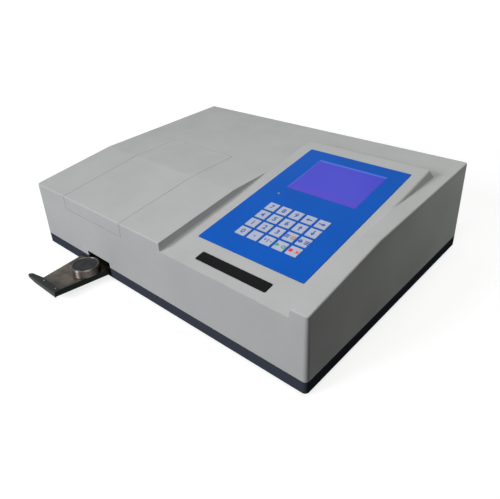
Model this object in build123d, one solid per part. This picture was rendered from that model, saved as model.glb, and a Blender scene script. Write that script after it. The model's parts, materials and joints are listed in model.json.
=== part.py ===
from build123d import *
from math import atan, cos, degrees, radians, sin, tan
import os

os.makedirs("parts", exist_ok=True)

# Benchtop x-ray fluorescence spectrometer with a pull-out sample drawer and a hinged lid.
# Lengths are in millimetres and angles in degrees. X runs along the front, Y to the back, Z up.
# Pieces are drawn about the middle of the housing, with Z from the underside of the base tray,
# and moved as they are written, so that the origin lies on the bench under the whole object.

# Housing
width = 468.0
depth = 354.8
seam_height = 16.3
front_height = 93.6
ridge_height = 112.8
rear_height = 123.6
ridge_setback = 123.5
side_draft = 0.9
corner_radius = 5.0
inner_corner_radius = 2.6
edge_radius = 1.8
cover_wall = 2.6
overrun = 24.0

# Control panel, one plane let into the cover at the front and raised above it at the rear
panel_side_share = 0.2384
panel_width = 179.4
panel_front_height = 83.1
panel_rear_setback = 274.4
panel_rear_height = 130.7
panel_flare = 5.0
hump_start_share = 0.2
hump_rear_setback = 281.9
hump_rear_lean = 43.0
hump_flare = 12.0
hump_corner_radius = 4.0
panel_edge_radius = 3.0
panel_foot_radius = 1.4
panel_corner_radius = 7.0

# Membrane overlay, window and keys, placed along the slope of the panel
overlay_shift = 2.1
overlay_width = 146.9
overlay_front = 43.6
overlay_rear_margin = 19.1
overlay_thickness = 1.0
overlay_pocket = 0.5
overlay_corner = 1.5
fit_gap = 0.2
window_shift = 5.0
window_width = 97.7
window_gap = 35.9
window_length = 74.2
window_thickness = 2.0
window_rim = 3.0
window_corner = 1.2
keys_shift = 3.4
keys_front = 69.7
key_size = 14.1
key_pitch_x = 17.7
key_pitch_y = 17.5
key_corner = 0.4
key_thickness = 1.5
key_proud = 0.9
key_travel = 0.4
key_stem_radius = 2.4
key_stem_length = 1.9
key_well_margin = 4.0
key_well_corner = 4.0
dome_radius = 4.6
dome_top_radius = 2.2
dome_height = 1.3
dome_slack = 0.05
led_shift = -43.7
led_gap = 20.2
led_radius = 1.8
led_proud = 0.9
label_shift = 2.5
label_width = 97.1
label_front = 14.1
label_length = 13.1
label_thickness = 0.8
label_pocket = 0.3

# Boards behind the panel
board_thickness = 1.6
display_board_front = 60.0
display_board_length = 101.0
display_board_width = 120.0
lcd_module_margin = 7.0
lcd_module_thickness = 9.0
lcd_gap = 0.4
lcd_bezel_margin = 1.6
lcd_recess = 0.4
post_radius = 3.2
board_corner = 1.5

# Base tray, feet and case screws
base_wall = 2.5
base_floor = 2.5
base_chamfer = 1.5
seam_gap = 0.6
tongue_height = 4.0
tongue_thickness = 1.6
tongue_gap = 0.3
boss_radius = 5.0
boss_bore = 1.7
boss_inset = 19.0
foot_radius = 9.0
foot_waist = 7.5
foot_height = 4.0
foot_inset = 36.0
foot_spigot_radius = 3.0
foot_spigot_height = 1.6
foot_seat_gap = 0.05
screw_head_radius = 3.1
screw_head_height = 1.8
screw_shank_radius = 1.45
screw_grip = 5.5
boss_bore_depth = 11.0
screw_recess = 2.2

# Lid over the measuring bay
lid_side_share = 0.14957
lid_width = 123.0
lid_rear_setback = 198.8
lid_skirt_height = 75.3
lid_thickness = 2.5
lid_gap = 0.5
lid_rear_gap = 0.8
lid_ledge_width = 4.0
lid_ledge_thickness = 2.0
lid_seat_gap = 0.3
hinge_setback = 24.0
hinge_drop = 7.0
hinge_pin_radius = 1.8
hinge_eye_radius = 3.9
hinge_inset = 15.0
hinge_running_gap = 0.05
arm_thickness = 4.0
arm_bar = 6.0
arm_reach = 30.0
arm_depth = 29.0
arm_foot_length = 18.0
arm_foot_width = 8.0
arm_foot_thickness = 3.0
cheek_thickness = 2.5
cheek_gap = 0.3
cheek_length = 12.0
pin_head_radius = 3.0
pin_head_length = 1.2
catch_width = 22.0
catch_length = 9.0
catch_height = 7.0

# Sample drawer, drawn pulled out
drawer_shift = 50.4
drawer_out = 72.0
drawer_top = 12.0
drawer_sheet = 1.2
drawer_flange = 8.0
drawer_nose_width = 38.8
drawer_body_width = 59.8
drawer_inner_length = 78.0
drawer_travel = 62.0
cup_shift = 9.9
cup_out = 20.3
cup_radius = 18.2
cup_bore_radius = 15.5
cup_height = 10.0
cup_floor = 1.6
cup_edge = 0.8
cup_spigot_radius = 14.0
cup_spigot_height = 2.6
cup_spigot_gap = 0.06
pellet_drop = 0.5
pellet_gap = 0.05
handle_left_reach = 43.0
handle_right_reach = 22.6
handle_length = 8.4
handle_sheet = 1.2
handle_drop = 6.6
handle_bend = 2.4
handle_toe_length = 14.0
handle_toe_height = 2.4
handle_taper = 3.8
handle_slant = 3.6
handle_screw_radius = 1.6
handle_screw_height = 1.1
handle_screw_shift = 2.6
handle_screw_pitch = 27.2
handle_screw_setback = 4.9
handle_screw_shank = 1.0
handle_screw_gap = 0.15
handle_screw_end = 1.6
slot_left_reach = 14.9
slot_width = 49.5
slot_top = 23.5
slot_sill = 3.2
slot_side_gap = 0.9
door_gap = 0.6
rail_gap = 0.3
rail_wall = 1.5
rail_lip = 1.2
rail_floor = 4.0
rail_front_gap = 0.8
rail_rear_setback = 145.0

# Measuring head over the closed drawer
frame_leg = 3.0
frame_side_gap = 4.0
frame_plate = 3.0
frame_top = 27.0
frame_length = 64.0
frame_toe = 9.0
head_port_radius = 17.0
head_margin = 6.0
beam_port_radius = 14.0
head_height = 25.0
head_width = 78.0
head_left_reach = 42.2
tube_radius = 18.0
tube_length = 92.0
tube_cap_radius = 19.0
tube_cap_length = 7.0
tube_sink = 2.0
tube_seat_gap = 0.3
source_radius = 9.0
source_seat_gap = 0.05
source_height = 20.0
source_sink = 9.0
source_cap_radius = 6.5
source_cap_height = 5.0
source_offset = 29.0
preamp_width = 34.0
preamp_length = 30.0
preamp_height = 32.0
screen_corner = 1.5

# Electronics on the base floor
deck_height = 12.0
deck_post_radius = 3.6
deck_post_inset = 6.0
main_board_gap = 16.0
main_board_side_gap = 12.0
main_board_setback = 105.0
main_board_length = 165.0
chip_height = 2.6
chip_side = 20.0
chip_margin = 20.0
chip_pitch = 34.0
socket_height = 9.0
socket_width = 60.0
socket_depth = 8.0
power_board_right_setback = 110.0
power_board_width = 88.0
power_board_setback = 190.0
power_board_length = 110.0
capacitor_radius = 9.0
capacitor_height = 28.0
capacitor_pitch = 24.0
capacitor_start = 19.5
transformer_width = 64.0
transformer_length = 54.0
transformer_height = 48.0
transformer_setback = 112.0
winding_overhang = 7.0
winding_width = 44.0
winding_height = 22.0
supply_gap = 9.9
supply_width = 78.0
supply_setback = 14.0
supply_length = 62.0
supply_height = 32.0
supply_lug = 8.0
supply_lug_thickness = 1.5

# Rear connector panel
rear_window_setback = 84.0
rear_window_width = 200.0
rear_window_low = 24.0
rear_window_height = 46.0
rear_panel_margin = 6.0
rear_panel_thickness = 1.5
rear_panel_gap = 0.6
rear_foot_length = 10.0
inlet_shift = 38.0
inlet_flange_width = 31.0
inlet_flange_height = 40.0
inlet_flange_thickness = 2.6
flange_corner = 1.5
inlet_body_width = 27.0
inlet_body_depth = 24.0
inlet_body_height = 36.0
inlet_cavity_width = 24.0
inlet_cavity_height = 16.0
inlet_cavity_chamfer = 4.5
inlet_cavity_depth = 17.0
inlet_cavity_drop = 8.0
pin_width = 4.0
pin_thickness = 2.0
pin_length = 14.0
pin_spread = 7.0
pin_rise = 2.0
fuse_width = 20.0
fuse_height = 9.0
fuse_depth = 18.0
fuse_lift = 12.5
fuse_gap = 0.15
fuse_ridge = 0.6
fuse_ridge_height = 2.25
rocker_shift = 78.0
bezel_width = 15.0
bezel_height = 21.0
bezel_thickness = 2.0
bezel_wall = 1.6
bezel_body_depth = 14.0
rocker_gap = 0.35
rocker_radius = 16.0
rocker_proud = 2.6
rocker_tilt = 10.0
rocker_pivot_depth = 6.0
rocker_pivot_radius = 1.1
rocker_hub_radius = 2.6
serial_shift = 152.0
serial_flange_width = 31.0
serial_flange_height = 12.5
serial_flange_thickness = 0.8
serial_shell_width = 16.9
serial_shell_height = 8.4
serial_shell_length = 5.8
serial_shell_slope = 10.0
serial_body_depth = 9.0
serial_hole_radius = 0.55
serial_hole_pitch = 2.74
serial_row_pitch = 2.84
serial_hole_depth = 4.5
post_pitch = 24.99
jack_radius = 2.6
jack_length = 5.0
jack_bore = 1.3
vent_setback = 156.0
vent_count = 14
vent_pitch = 8.0
vent_width = 3.2
vent_low = 34.0
vent_height = 40.0
floor_vent_length = 46.0
floor_vent_count = 9

# Places that follow from the sizes
front_y = -depth / 2
rear_y = depth / 2
left_x = -width / 2
right_x = width / 2
panel_mid_x = right_x - width * panel_side_share
overlay_mid_x = panel_mid_x + overlay_shift
window_mid_x = panel_mid_x + window_shift
keys_mid_x = panel_mid_x + keys_shift
led_x = panel_mid_x + led_shift
label_mid_x = panel_mid_x + label_shift
keys_rear = keys_front + 3 * key_pitch_y + key_size
led_setback = keys_rear + led_gap
window_front = keys_rear + window_gap
overlay_length = window_front + window_length + overlay_rear_margin - overlay_front
panel_tilt = degrees(atan((panel_rear_height - panel_front_height) / panel_rear_setback))
panel_length = panel_rear_setback / cos(radians(panel_tilt))
panel_plane = Plane(
    origin=(panel_mid_x, front_y, panel_front_height),
    x_dir=(1, 0, 0),
    z_dir=(0, -sin(radians(panel_tilt)), cos(radians(panel_tilt))),
)
lid_left = left_x + width * lid_side_share
lid_right = lid_left + lid_width
lid_rear = front_y + lid_rear_setback
lid_mid_x = lid_left + lid_width / 2
form_top = max(ridge_height, rear_height)
rear_wall_lean = (rear_height - seam_height) * tan(radians(side_draft))
rear_top_y = rear_y - rear_wall_lean
rear_panel_y = rear_top_y - cover_wall - rear_panel_gap
drawer_mid_x = lid_left + drawer_shift
cup_x = drawer_mid_x + cup_shift
slot_left = drawer_mid_x - slot_left_reach
handle_front = front_y - drawer_out - handle_sheet
rear_window_left = left_x + rear_window_setback
inlet_mid_x = rear_window_left + inlet_shift
rocker_mid_x = rear_window_left + rocker_shift
serial_mid_x = rear_window_left + serial_shift
vent_left = right_x - vent_setback
power_board_left = right_x - power_board_right_setback
frame_half = drawer_body_width / 2 + rail_gap + rail_wall + frame_side_gap
frame_side = drawer_mid_x + frame_half + frame_leg + frame_toe
main_board_left = frame_side + main_board_side_gap
main_board_width = power_board_left - main_board_gap - main_board_left
jack_end = rear_panel_y + serial_flange_thickness + jack_length
object_rear = max(rear_y, jack_end)
object_mid_y = (handle_front + object_rear) / 2
LOW = (Align.MIN, Align.MIN, Align.MIN)
STANDING = (Align.CENTER, Align.CENTER, Align.MIN)


# Helpers
def block(x0, x1, y0, y1, z0, z1):
    """A box between two corners."""
    return Pos(x0, y0, z0) * Box(x1 - x0, y1 - y0, z1 - z0, align=LOW)


def wall_block(x, z, wide, tall, y0, y1):
    """A box centred across and up on a place of the rear wall, with thickness along Y."""
    return block(x - wide / 2, x + wide / 2, y0, y1, z - tall / 2, z + tall / 2)


def upright(radius, x, y, z0, z1):
    """A standing cylinder."""
    return Pos(x, y, z0) * Cylinder(radius, z1 - z0, align=STANDING)


def lying_x(radius, y, z, x0, x1):
    """A cylinder along X."""
    return Pos(x0, y, z) * Rot(0, 90, 0) * Cylinder(radius, x1 - x0, align=STANDING)


def lying_y(radius, x, z, y0, y1):
    """A cylinder along Y."""
    return Pos(x, y0, z) * Rot(-90, 0, 0) * Cylinder(radius, y1 - y0, align=STANDING)


def side_slab(points, x0, x1):
    """A flat outline of (y, z) points with thickness along X."""
    outline = Plane.YZ * Polygon(*points, align=None)
    return Pos(x0, 0, 0) * extrude(outline, amount=x1 - x0, dir=(1, 0, 0))


def plan_slab(points, z0, z1):
    """A flat outline of (x, y) points with thickness along Z."""
    return Pos(0, 0, z0) * extrude(Polygon(*points, align=None), amount=z1 - z0, dir=(0, 0, 1))


def face_slab(outline, x, z, y0, y1):
    """A flat outline drawn in X and Z about a place, with thickness along Y."""
    return Pos(x, y0, z) * extrude(Plane.XZ * outline, amount=y1 - y0, dir=(0, 1, 0))


def on_panel(shape, x, along, above=0):
    """Puts a shape on the panel plane: x across, a distance up the slope, a height above it."""
    return panel_plane * Pos(x - panel_mid_x, along, above) * shape


def panel_plate(x, front, plate_width, length, corner, low, high):
    """A plate with rounded corners lying on the panel between two heights above its plane."""
    outline = RectangleRounded(plate_width, length, corner)
    return on_panel(extrude(outline, amount=high - low), x, front + length / 2, low)


def save(name, shape):
    """Moves a piece into the object's own frame and writes it under its name."""
    placed = Pos(0, -object_mid_y, foot_height) * shape
    solids = placed.solids()
    whole = solids[0] if len(solids) == 1 else Compound(children=list(solids))
    export_step(whole, "parts/" + name + ".step")


# Housing form
def top_profile(inset):
    """Side outline of the housing, with a ridge between the two slopes of its top."""
    front_slope = (ridge_height - front_height) / ridge_setback
    ahead = front_y - overrun
    ridge_y = front_y + ridge_setback
    behind = rear_y + overrun
    rear_slope = (rear_height - ridge_height) / (rear_top_y - ridge_y)
    outline = Polygon(
        (ahead, seam_height),
        (behind, seam_height),
        (behind, rear_height + rear_slope * (behind - rear_top_y) - inset),
        (ridge_y, ridge_height - inset),
        (ahead, front_height - front_slope * overrun - inset),
        align=None,
    )
    return Plane.YZ * outline


def housing_form(inset):
    """Tapered housing with rounded upright corners, closed at the seam."""
    corner = max(corner_radius - inset, inner_corner_radius)
    plan = RectangleRounded(width - 2 * inset, depth - 2 * inset, corner)
    tall = extrude(Pos(0, 0, seam_height) * plan, amount=rear_height, taper=side_draft)
    form = tall & extrude(top_profile(inset), amount=width, both=True)
    if inset > 0:
        return form
    rim = []
    for edge in form.edges():
        middle = edge.center()
        at_side = abs(middle.X) > width / 2 - corner_radius
        at_end = abs(middle.Y) > depth / 2 - corner_radius
        above_wall = edge.bounding_box().min.Z > front_height - corner_radius
        if above_wall and (at_side or at_end):
            rim.append(edge)
    return fillet(rim, edge_radius)


def panel_recess(inset):
    """Space above the sunk front half of the panel, open to the front."""
    length = panel_length + overrun
    floor_width = panel_width + 2 * inset
    outline = Pos(0, panel_length - length / 2, -inset) * Rectangle(floor_width, length)
    space = extrude(panel_plane * outline, amount=overrun, taper=-panel_flare)
    if inset > 0:
        return space
    floor_edges = space.faces().sort_by(panel_normal)[0].edges()
    return fillet(floor_edges, panel_foot_radius)


def space_behind_hump(inset):
    """Space behind the slope in which the hump ends."""
    lean = radians(hump_rear_lean)
    edge_y = front_y + hump_rear_setback - inset / cos(lean)
    edge_z = panel_front_height + hump_rear_setback * tan(radians(panel_tilt))
    run = overrun * tan(lean)
    outline = [
        (edge_y - run, edge_z + overrun),
        (edge_y + run, edge_z - overrun),
        (edge_y + 3 * overrun, edge_z - overrun),
        (edge_y + 3 * overrun, edge_z + overrun),
    ]
    return side_slab(outline, panel_mid_x - panel_width, panel_mid_x + panel_width)


def panel_hump(inset):
    """Raised rear half of the panel, which runs out in the sloping top and slopes down behind."""
    length = panel_length + 2 * overrun
    hump_width = panel_width - 2 * inset
    start = panel_length * hump_start_share
    outline = RectangleRounded(hump_width, length - start, panel_corner_radius - inset)
    top = Pos(0, (start + length) / 2, -inset) * outline
    hump = extrude(panel_plane * top, amount=-overrun, taper=-hump_flare)
    hump -= space_behind_hump(inset)
    if inset > 0:
        return hump
    corners = []
    for edge in hump.edges().filter_by(Axis.X, reverse=True):
        if edge.center().Y > front_y + hump_rear_setback:
            corners.append(edge)
    hump = fillet(corners, hump_corner_radius)
    top_edges = hump.faces().sort_by(panel_normal)[-1].edges()
    return fillet(top_edges, panel_edge_radius)


def cover_form(inset):
    """The whole outer shape of the cover, shrunk by an inset."""
    return housing_form(inset) - panel_recess(inset) + panel_hump(inset)


def top_height(y):
    """Height of the housing's top at a place between the front and the rear."""
    ridge_y = front_y + ridge_setback
    if y < ridge_y:
        share = (y - front_y) / ridge_setback
        return front_height + (ridge_height - front_height) * share
    share = (y - ridge_y) / (rear_top_y - ridge_y)
    return ridge_height + (rear_height - ridge_height) * share


def corner_places(inset):
    """Four places, an inset in from the housing's corners."""
    x = width / 2 - inset
    y = depth / 2 - inset
    return [(-x, -y), (x, -y), (x, y), (-x, y)]


def board_corners(left, board_width, front, length):
    """Four places for the posts of a board on the base floor."""
    low_x = left + deck_post_inset
    high_x = left + board_width - deck_post_inset
    low_y = front + deck_post_inset
    high_y = front + length - deck_post_inset
    return [(low_x, low_y), (high_x, low_y), (high_x, high_y), (low_x, high_y)]


panel_normal = Axis(panel_plane.origin, panel_plane.z_dir)
main_board_front = front_y + main_board_setback
power_board_front = front_y + power_board_setback
main_posts = board_corners(main_board_left, main_board_width, main_board_front, main_board_length)
power_posts = board_corners(
    power_board_left, power_board_width, power_board_front, power_board_length
)


# Cover
def lid_zone(side_gap, rear_gap):
    """Space of the lid: its plan, and down the front to the edge of its skirt."""
    return block(
        lid_left + side_gap,
        lid_right - side_gap,
        front_y - overrun,
        lid_rear - rear_gap,
        lid_skirt_height + side_gap,
        form_top + overrun,
    )


def lid_ledges():
    """Two strips under the sides of the lid opening, which the closed lid rests on."""
    depth_of_ledge = lid_thickness + lid_seat_gap
    layer = housing_form(cover_wall) - housing_form(depth_of_ledge + lid_ledge_thickness)
    ledges = Part()
    for edge_x in (lid_left, lid_right):
        ledges += layer & block(
            edge_x - lid_ledge_width,
            edge_x + lid_ledge_width,
            front_y + corner_radius,
            lid_rear - arm_reach,
            lid_skirt_height,
            form_top,
        )
    return ledges


def cover_bosses():
    """Screw bosses in the corners, which meet those of the base tray."""
    bosses = Part()
    for x, y in corner_places(boss_inset):
        bosses += upright(boss_radius, x, y, seam_height, form_top)
    return bosses


def panel_posts():
    """Posts under the panel for the display board and the display module."""
    posts = Part()
    half = display_board_width / 2 - post_radius
    board_rear = display_board_front + display_board_length
    for side in (-half, half):
        for along in (display_board_front + post_radius, board_rear - post_radius):
            length = board_top_drop()
            post = Pos(0, 0, -length) * Cylinder(post_radius, length, align=STANDING)
            posts += on_panel(post, keys_mid_x + side, along)
    half = window_width / 2 + lcd_module_margin / 2
    for side in (-half, half):
        for along in (window_front, window_front + window_length):
            length = cover_wall + lcd_gap
            post = Pos(0, 0, -length) * Cylinder(post_radius, length, align=STANDING)
            posts += on_panel(post, window_mid_x + side, along)
    return posts


def board_top_drop():
    """Depth of the display board's face under the panel plane."""
    stem_end = key_thickness - key_proud + key_stem_length
    return stem_end + key_travel + dome_slack + dome_height


def key_places():
    """Places of the keys on the panel, row by row from the rear."""
    places = []
    for row in range(4):
        along = keys_front + key_size / 2 + (3 - row) * key_pitch_y
        for column in range(5):
            places.append((keys_mid_x + (column - 2) * key_pitch_x, along))
    return places


def rear_vents():
    """Upright slots in the rear wall."""
    slots = Part()
    for number in range(vent_count):
        x = vent_left + number * vent_pitch
        slot = SlotOverall(vent_height, vent_width, rotation=90)
        middle = vent_low + vent_height / 2
        slots += face_slab(slot, x, middle, rear_y - overrun / 2, rear_y + overrun / 2)
    return slots


def make_top_cover():
    """Moulded cover: shell, panel recess and hump, bosses, ledges and all its openings."""
    inner = cover_form(cover_wall)
    fitted = cover_form(cover_wall / 2)
    cover = cover_form(0) - inner
    cover += (cover_bosses() + panel_posts()) & fitted
    cover += lid_ledges()
    for x, y in corner_places(boss_inset):
        cover -= upright(boss_bore, x, y, seam_height, seam_height + boss_bore_depth)
    lid_space = lid_zone(0, 0) - housing_form(lid_thickness + lid_seat_gap)
    lid_well = block(
        lid_left + lid_ledge_width,
        lid_right - lid_ledge_width,
        front_y + cover_wall,
        lid_rear,
        lid_skirt_height,
        form_top,
    )
    cover -= lid_space
    cover -= lid_well
    cover -= block(
        slot_left,
        slot_left + slot_width,
        front_y - overrun,
        front_y + cover_wall + overrun / 2,
        seam_height,
        slot_top,
    )
    cover -= block(
        rear_window_left,
        rear_window_left + rear_window_width,
        rear_y - overrun / 2,
        rear_y + overrun,
        rear_window_low,
        rear_window_low + rear_window_height,
    )
    cover -= rear_vents()
    cover -= panel_plate(
        overlay_mid_x,
        overlay_front - fit_gap,
        overlay_width + 2 * fit_gap,
        overlay_length + 2 * fit_gap,
        overlay_corner,
        -overlay_pocket,
        overrun,
    )
    cover -= panel_plate(
        label_mid_x,
        label_front - fit_gap,
        label_width + 2 * fit_gap,
        label_length + 2 * fit_gap,
        overlay_corner,
        -label_pocket,
        overrun,
    )
    cover -= panel_plate(
        window_mid_x,
        window_front - fit_gap,
        window_width + 2 * fit_gap,
        window_length + 2 * fit_gap,
        window_corner,
        overlay_thickness - overlay_pocket - window_thickness,
        overrun,
    )
    cover -= panel_plate(
        window_mid_x,
        window_front + window_rim,
        window_width - 2 * window_rim,
        window_length - 2 * window_rim,
        window_corner,
        -overrun / 2,
        overrun,
    )
    keys_across = 4 * key_pitch_x + key_size
    cover -= panel_plate(
        keys_mid_x,
        keys_front - key_well_margin,
        keys_across + 2 * key_well_margin,
        keys_rear - keys_front + 2 * key_well_margin,
        key_well_corner,
        -cover_wall - overlay_pocket,
        overrun,
    )
    led_hole = Pos(0, 0, -overrun / 2) * Cylinder(led_radius + fit_gap, overrun, align=STANDING)
    cover -= on_panel(led_hole, led_x, led_setback)
    return cover


# Panel pieces
def make_overlay():
    """Membrane sheet with openings for the window, the keys and the lamp."""
    low = -overlay_pocket
    high = low + overlay_thickness
    sheet = panel_plate(
        overlay_mid_x, overlay_front, overlay_width, overlay_length, overlay_corner, low, high
    )
    sheet -= panel_plate(
        window_mid_x,
        window_front - fit_gap,
        window_width + 2 * fit_gap,
        window_length + 2 * fit_gap,
        window_corner,
        low,
        high,
    )
    opening = key_size + 2 * fit_gap
    for x, along in key_places():
        front = along - opening / 2
        sheet -= panel_plate(x, front, opening, opening, key_corner + fit_gap, low, high)
    lamp = Pos(0, 0, low) * Cylinder(led_radius + fit_gap, overlay_thickness, align=STANDING)
    return sheet - on_panel(lamp, led_x, led_setback)


def make_window():
    """Clear pane, seated on the rim of its opening and flush with the overlay."""
    high = overlay_thickness - overlay_pocket
    low = high - window_thickness
    return panel_plate(
        window_mid_x, window_front, window_width, window_length, window_corner, low, high
    )


def make_key(x, along):
    """Square key pad on a short stem over its dome."""
    low = key_proud - key_thickness
    pad = panel_plate(x, along - key_size / 2, key_size, key_size, key_corner, low, key_proud)
    stem = Pos(0, 0, low - key_stem_length)
    stem = stem * Cylinder(key_stem_radius, key_stem_length, align=STANDING)
    return pad + on_panel(stem, x, along)


def make_domes():
    """A metal snap dome on the board under each key."""
    domes = Part()
    low = -board_top_drop()
    for x, along in key_places():
        cone = Cone(dome_radius, dome_top_radius, dome_height, align=STANDING)
        domes += on_panel(Pos(0, 0, low) * cone, x, along)
    return domes


def make_display_board():
    """Board of the keypad, screwed under the panel's posts."""
    high = -board_top_drop()
    return panel_plate(
        keys_mid_x,
        display_board_front,
        display_board_width,
        display_board_length,
        board_corner,
        high - board_thickness,
        high,
    )


def make_lcd_module():
    """Display module behind the window, with its bezel frame and board."""
    high = -cover_wall - lcd_gap
    low = high - lcd_module_thickness
    margin = lcd_module_margin
    board = panel_plate(
        window_mid_x,
        window_front - margin,
        window_width + 2 * margin,
        window_length + 2 * margin,
        board_corner,
        low,
        low + board_thickness,
    )
    bezel = panel_plate(
        window_mid_x,
        window_front - lcd_bezel_margin,
        window_width + 2 * lcd_bezel_margin,
        window_length + 2 * lcd_bezel_margin,
        window_corner,
        low + board_thickness,
        high,
    )
    glass = panel_plate(
        window_mid_x,
        window_front + window_rim,
        window_width - 2 * window_rim,
        window_length - 2 * window_rim,
        window_corner,
        high - lcd_recess,
        high,
    )
    return board + bezel - glass


def make_led():
    """Indicator lamp with a domed end, standing on the display board."""
    low = -board_top_drop()
    body = Cylinder(led_radius, led_proud - low, align=STANDING)
    crown = body.edges().filter_by(GeomType.CIRCLE).sort_by(Axis.Z)[-1]
    return on_panel(Pos(0, 0, low) * fillet(crown, led_proud), led_x, led_setback)


def make_label():
    """Bare dark strip in front of the overlay."""
    low = -label_pocket
    return panel_plate(
        label_mid_x,
        label_front,
        label_width,
        label_length,
        overlay_corner,
        low,
        low + label_thickness,
    )


# Base tray, feet and screws
def base_plan(inset, low, high):
    """A layer of the base tray's plan, shrunk by an inset."""
    corner = max(corner_radius - inset, inner_corner_radius)
    plan = RectangleRounded(width - 2 * inset, depth - 2 * inset, corner)
    return extrude(Pos(0, 0, low) * plan, amount=high - low)


def make_base_tray():
    """Shallow tray with a locating tongue, bosses, board posts and the drawer's doorway."""
    top = seam_height - seam_gap
    outer = base_plan(0, 0, top)
    outer = chamfer(outer.faces().sort_by(Axis.Z)[0].edges(), base_chamfer)
    tray = outer - base_plan(base_wall, base_floor, top)
    tongue_in = cover_wall + tongue_gap
    tongue = base_plan(tongue_in, base_floor, seam_height + tongue_height)
    tongue -= base_plan(tongue_in + tongue_thickness, base_floor, seam_height + tongue_height)
    tongue_link = base_plan(base_wall, base_floor, top) - base_plan(tongue_in, base_floor, top)
    tray += tongue + tongue_link
    for x, y in corner_places(boss_inset):
        tray += upright(boss_radius, x, y, base_floor, seam_height)
    for x, y in main_posts + power_posts:
        tray += upright(deck_post_radius, x, y, base_floor, deck_height)
    for x, y in corner_places(boss_inset):
        tray -= upright(screw_shank_radius + fit_gap, x, y, 0, seam_height)
        tray -= upright(screw_head_radius + fit_gap, x, y, 0, screw_recess)
    for x, y in corner_places(foot_inset):
        tray -= upright(foot_spigot_radius + foot_seat_gap, x, y, 0, foot_spigot_height)
    half_door = drawer_body_width / 2 + slot_side_gap
    tray -= block(
        drawer_mid_x - half_door,
        drawer_mid_x + half_door,
        front_y - overrun,
        front_y + tongue_in + tongue_thickness + slot_side_gap,
        slot_sill,
        drawer_top + door_gap,
    )
    tray -= block(
        slot_left,
        slot_left + slot_width,
        front_y - overrun,
        front_y + tongue_in + tongue_thickness + slot_side_gap,
        slot_sill,
        seam_height + tongue_height,
    )
    for number in range(floor_vent_count):
        x = vent_left + number * vent_pitch
        slot = SlotOverall(floor_vent_length, vent_width, rotation=90)
        tray -= Pos(x, front_y + floor_vent_length, 0) * extrude(slot, amount=base_floor)
    return tray


def make_feet():
    """Four round rubber feet, each with a spigot pressed into the floor of the tray."""
    feet = Part()
    for x, y in corner_places(foot_inset):
        foot = Pos(x, y, -foot_height)
        foot = foot * Cone(foot_waist, foot_radius, foot_height, align=STANDING)
        feet += foot + upright(foot_spigot_radius, x, y, 0, foot_spigot_height)
    return feet


def make_case_screws():
    """Four screws up through the base tray into the bosses of the cover."""
    screws = Part()
    head_top = screw_recess
    for x, y in corner_places(boss_inset):
        head = upright(screw_head_radius, x, y, head_top - screw_head_height, head_top)
        shank_top = seam_height + screw_grip
        screws += head + upright(screw_shank_radius, x, y, head_top, shank_top)
    return screws


# Lid and its hinge
hinge_y = lid_rear + hinge_setback
hinge_z = top_height(lid_rear) - hinge_drop
arm_places = (lid_left + hinge_inset, lid_right - hinge_inset)


def make_lid():
    """Curved lid cut from the same form as the cover, with a skirt over the front edge."""
    layer = housing_form(0) - housing_form(lid_thickness)
    return layer & lid_zone(lid_gap, lid_rear_gap)


def make_lid_arms():
    """Two goosenecks, which carry the lid round the edge of its opening."""
    arms = Part()
    half = arm_thickness / 2
    front = hinge_y - arm_reach - arm_bar / 2
    low = hinge_z - arm_depth - arm_bar / 2
    back = hinge_y + arm_bar / 2
    for x in arm_places:
        neck = block(x - half, x + half, hinge_y - arm_bar / 2, back, low, hinge_z)
        floor = block(x - half, x + half, front, back, low, low + arm_bar)
        riser = block(x - half, x + half, front, front + arm_bar, low, form_top)
        foot_low = hinge_z + hinge_drop - lid_thickness - arm_foot_thickness
        foot = block(
            x - arm_foot_width / 2,
            x + arm_foot_width / 2,
            front - arm_foot_length + arm_bar,
            front + arm_bar,
            foot_low,
            form_top,
        )
        eye = lying_x(hinge_eye_radius, hinge_y, hinge_z, x - half, x + half)
        bore = lying_x(hinge_pin_radius + hinge_running_gap, hinge_y, hinge_z, x - half, x + half)
        arms += ((neck + floor + riser + foot) & housing_form(lid_thickness)) + eye - bore
    return arms


def make_hinge_brackets():
    """A pair of cheeks on each side, under the cover, with the pin between them."""
    brackets = Part()
    reach = arm_thickness / 2 + cheek_gap
    for x in arm_places:
        for side in (-1, 1):
            inner = x + side * reach
            outer = inner + side * cheek_thickness
            low_x = min(inner, outer)
            high_x = max(inner, outer)
            cheek = block(
                low_x,
                high_x,
                hinge_y - hinge_eye_radius,
                hinge_y - hinge_eye_radius + cheek_length,
                hinge_z - hinge_eye_radius,
                form_top,
            )
            brackets += cheek
        bridge_back = hinge_y - hinge_eye_radius + cheek_length
        brackets += block(
            x - reach - cheek_thickness,
            x + reach + cheek_thickness,
            bridge_back - cheek_thickness,
            bridge_back,
            hinge_z - hinge_eye_radius,
            form_top,
        )
        brackets -= lying_x(hinge_pin_radius, hinge_y, hinge_z, x - overrun / 2, x + overrun / 2)
    return brackets & housing_form(cover_wall)


def make_hinge_pins():
    """Headed pins through the cheeks and the eyes of the goosenecks."""
    pins = Part()
    reach = arm_thickness / 2 + cheek_gap + cheek_thickness
    for x in arm_places:
        pins += lying_x(hinge_pin_radius, hinge_y, hinge_z, x - reach, x + reach)
        pins += lying_x(pin_head_radius, hinge_y, hinge_z, x + reach, x + reach + pin_head_length)
    return pins


def make_lid_catch():
    """Magnet block behind the front wall, which holds the lid's skirt shut."""
    blank = block(
        lid_mid_x - catch_width / 2,
        lid_mid_x + catch_width / 2,
        front_y,
        front_y + cover_wall + catch_length,
        lid_skirt_height - catch_height,
        lid_skirt_height + catch_height,
    )
    return blank & housing_form(cover_wall + lid_seat_gap)


# Sample drawer
drawer_end = front_y - drawer_out
drawer_low = drawer_top - drawer_flange
drawer_inner_end = front_y + drawer_inner_length
cup_y = front_y - cup_out


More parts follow.
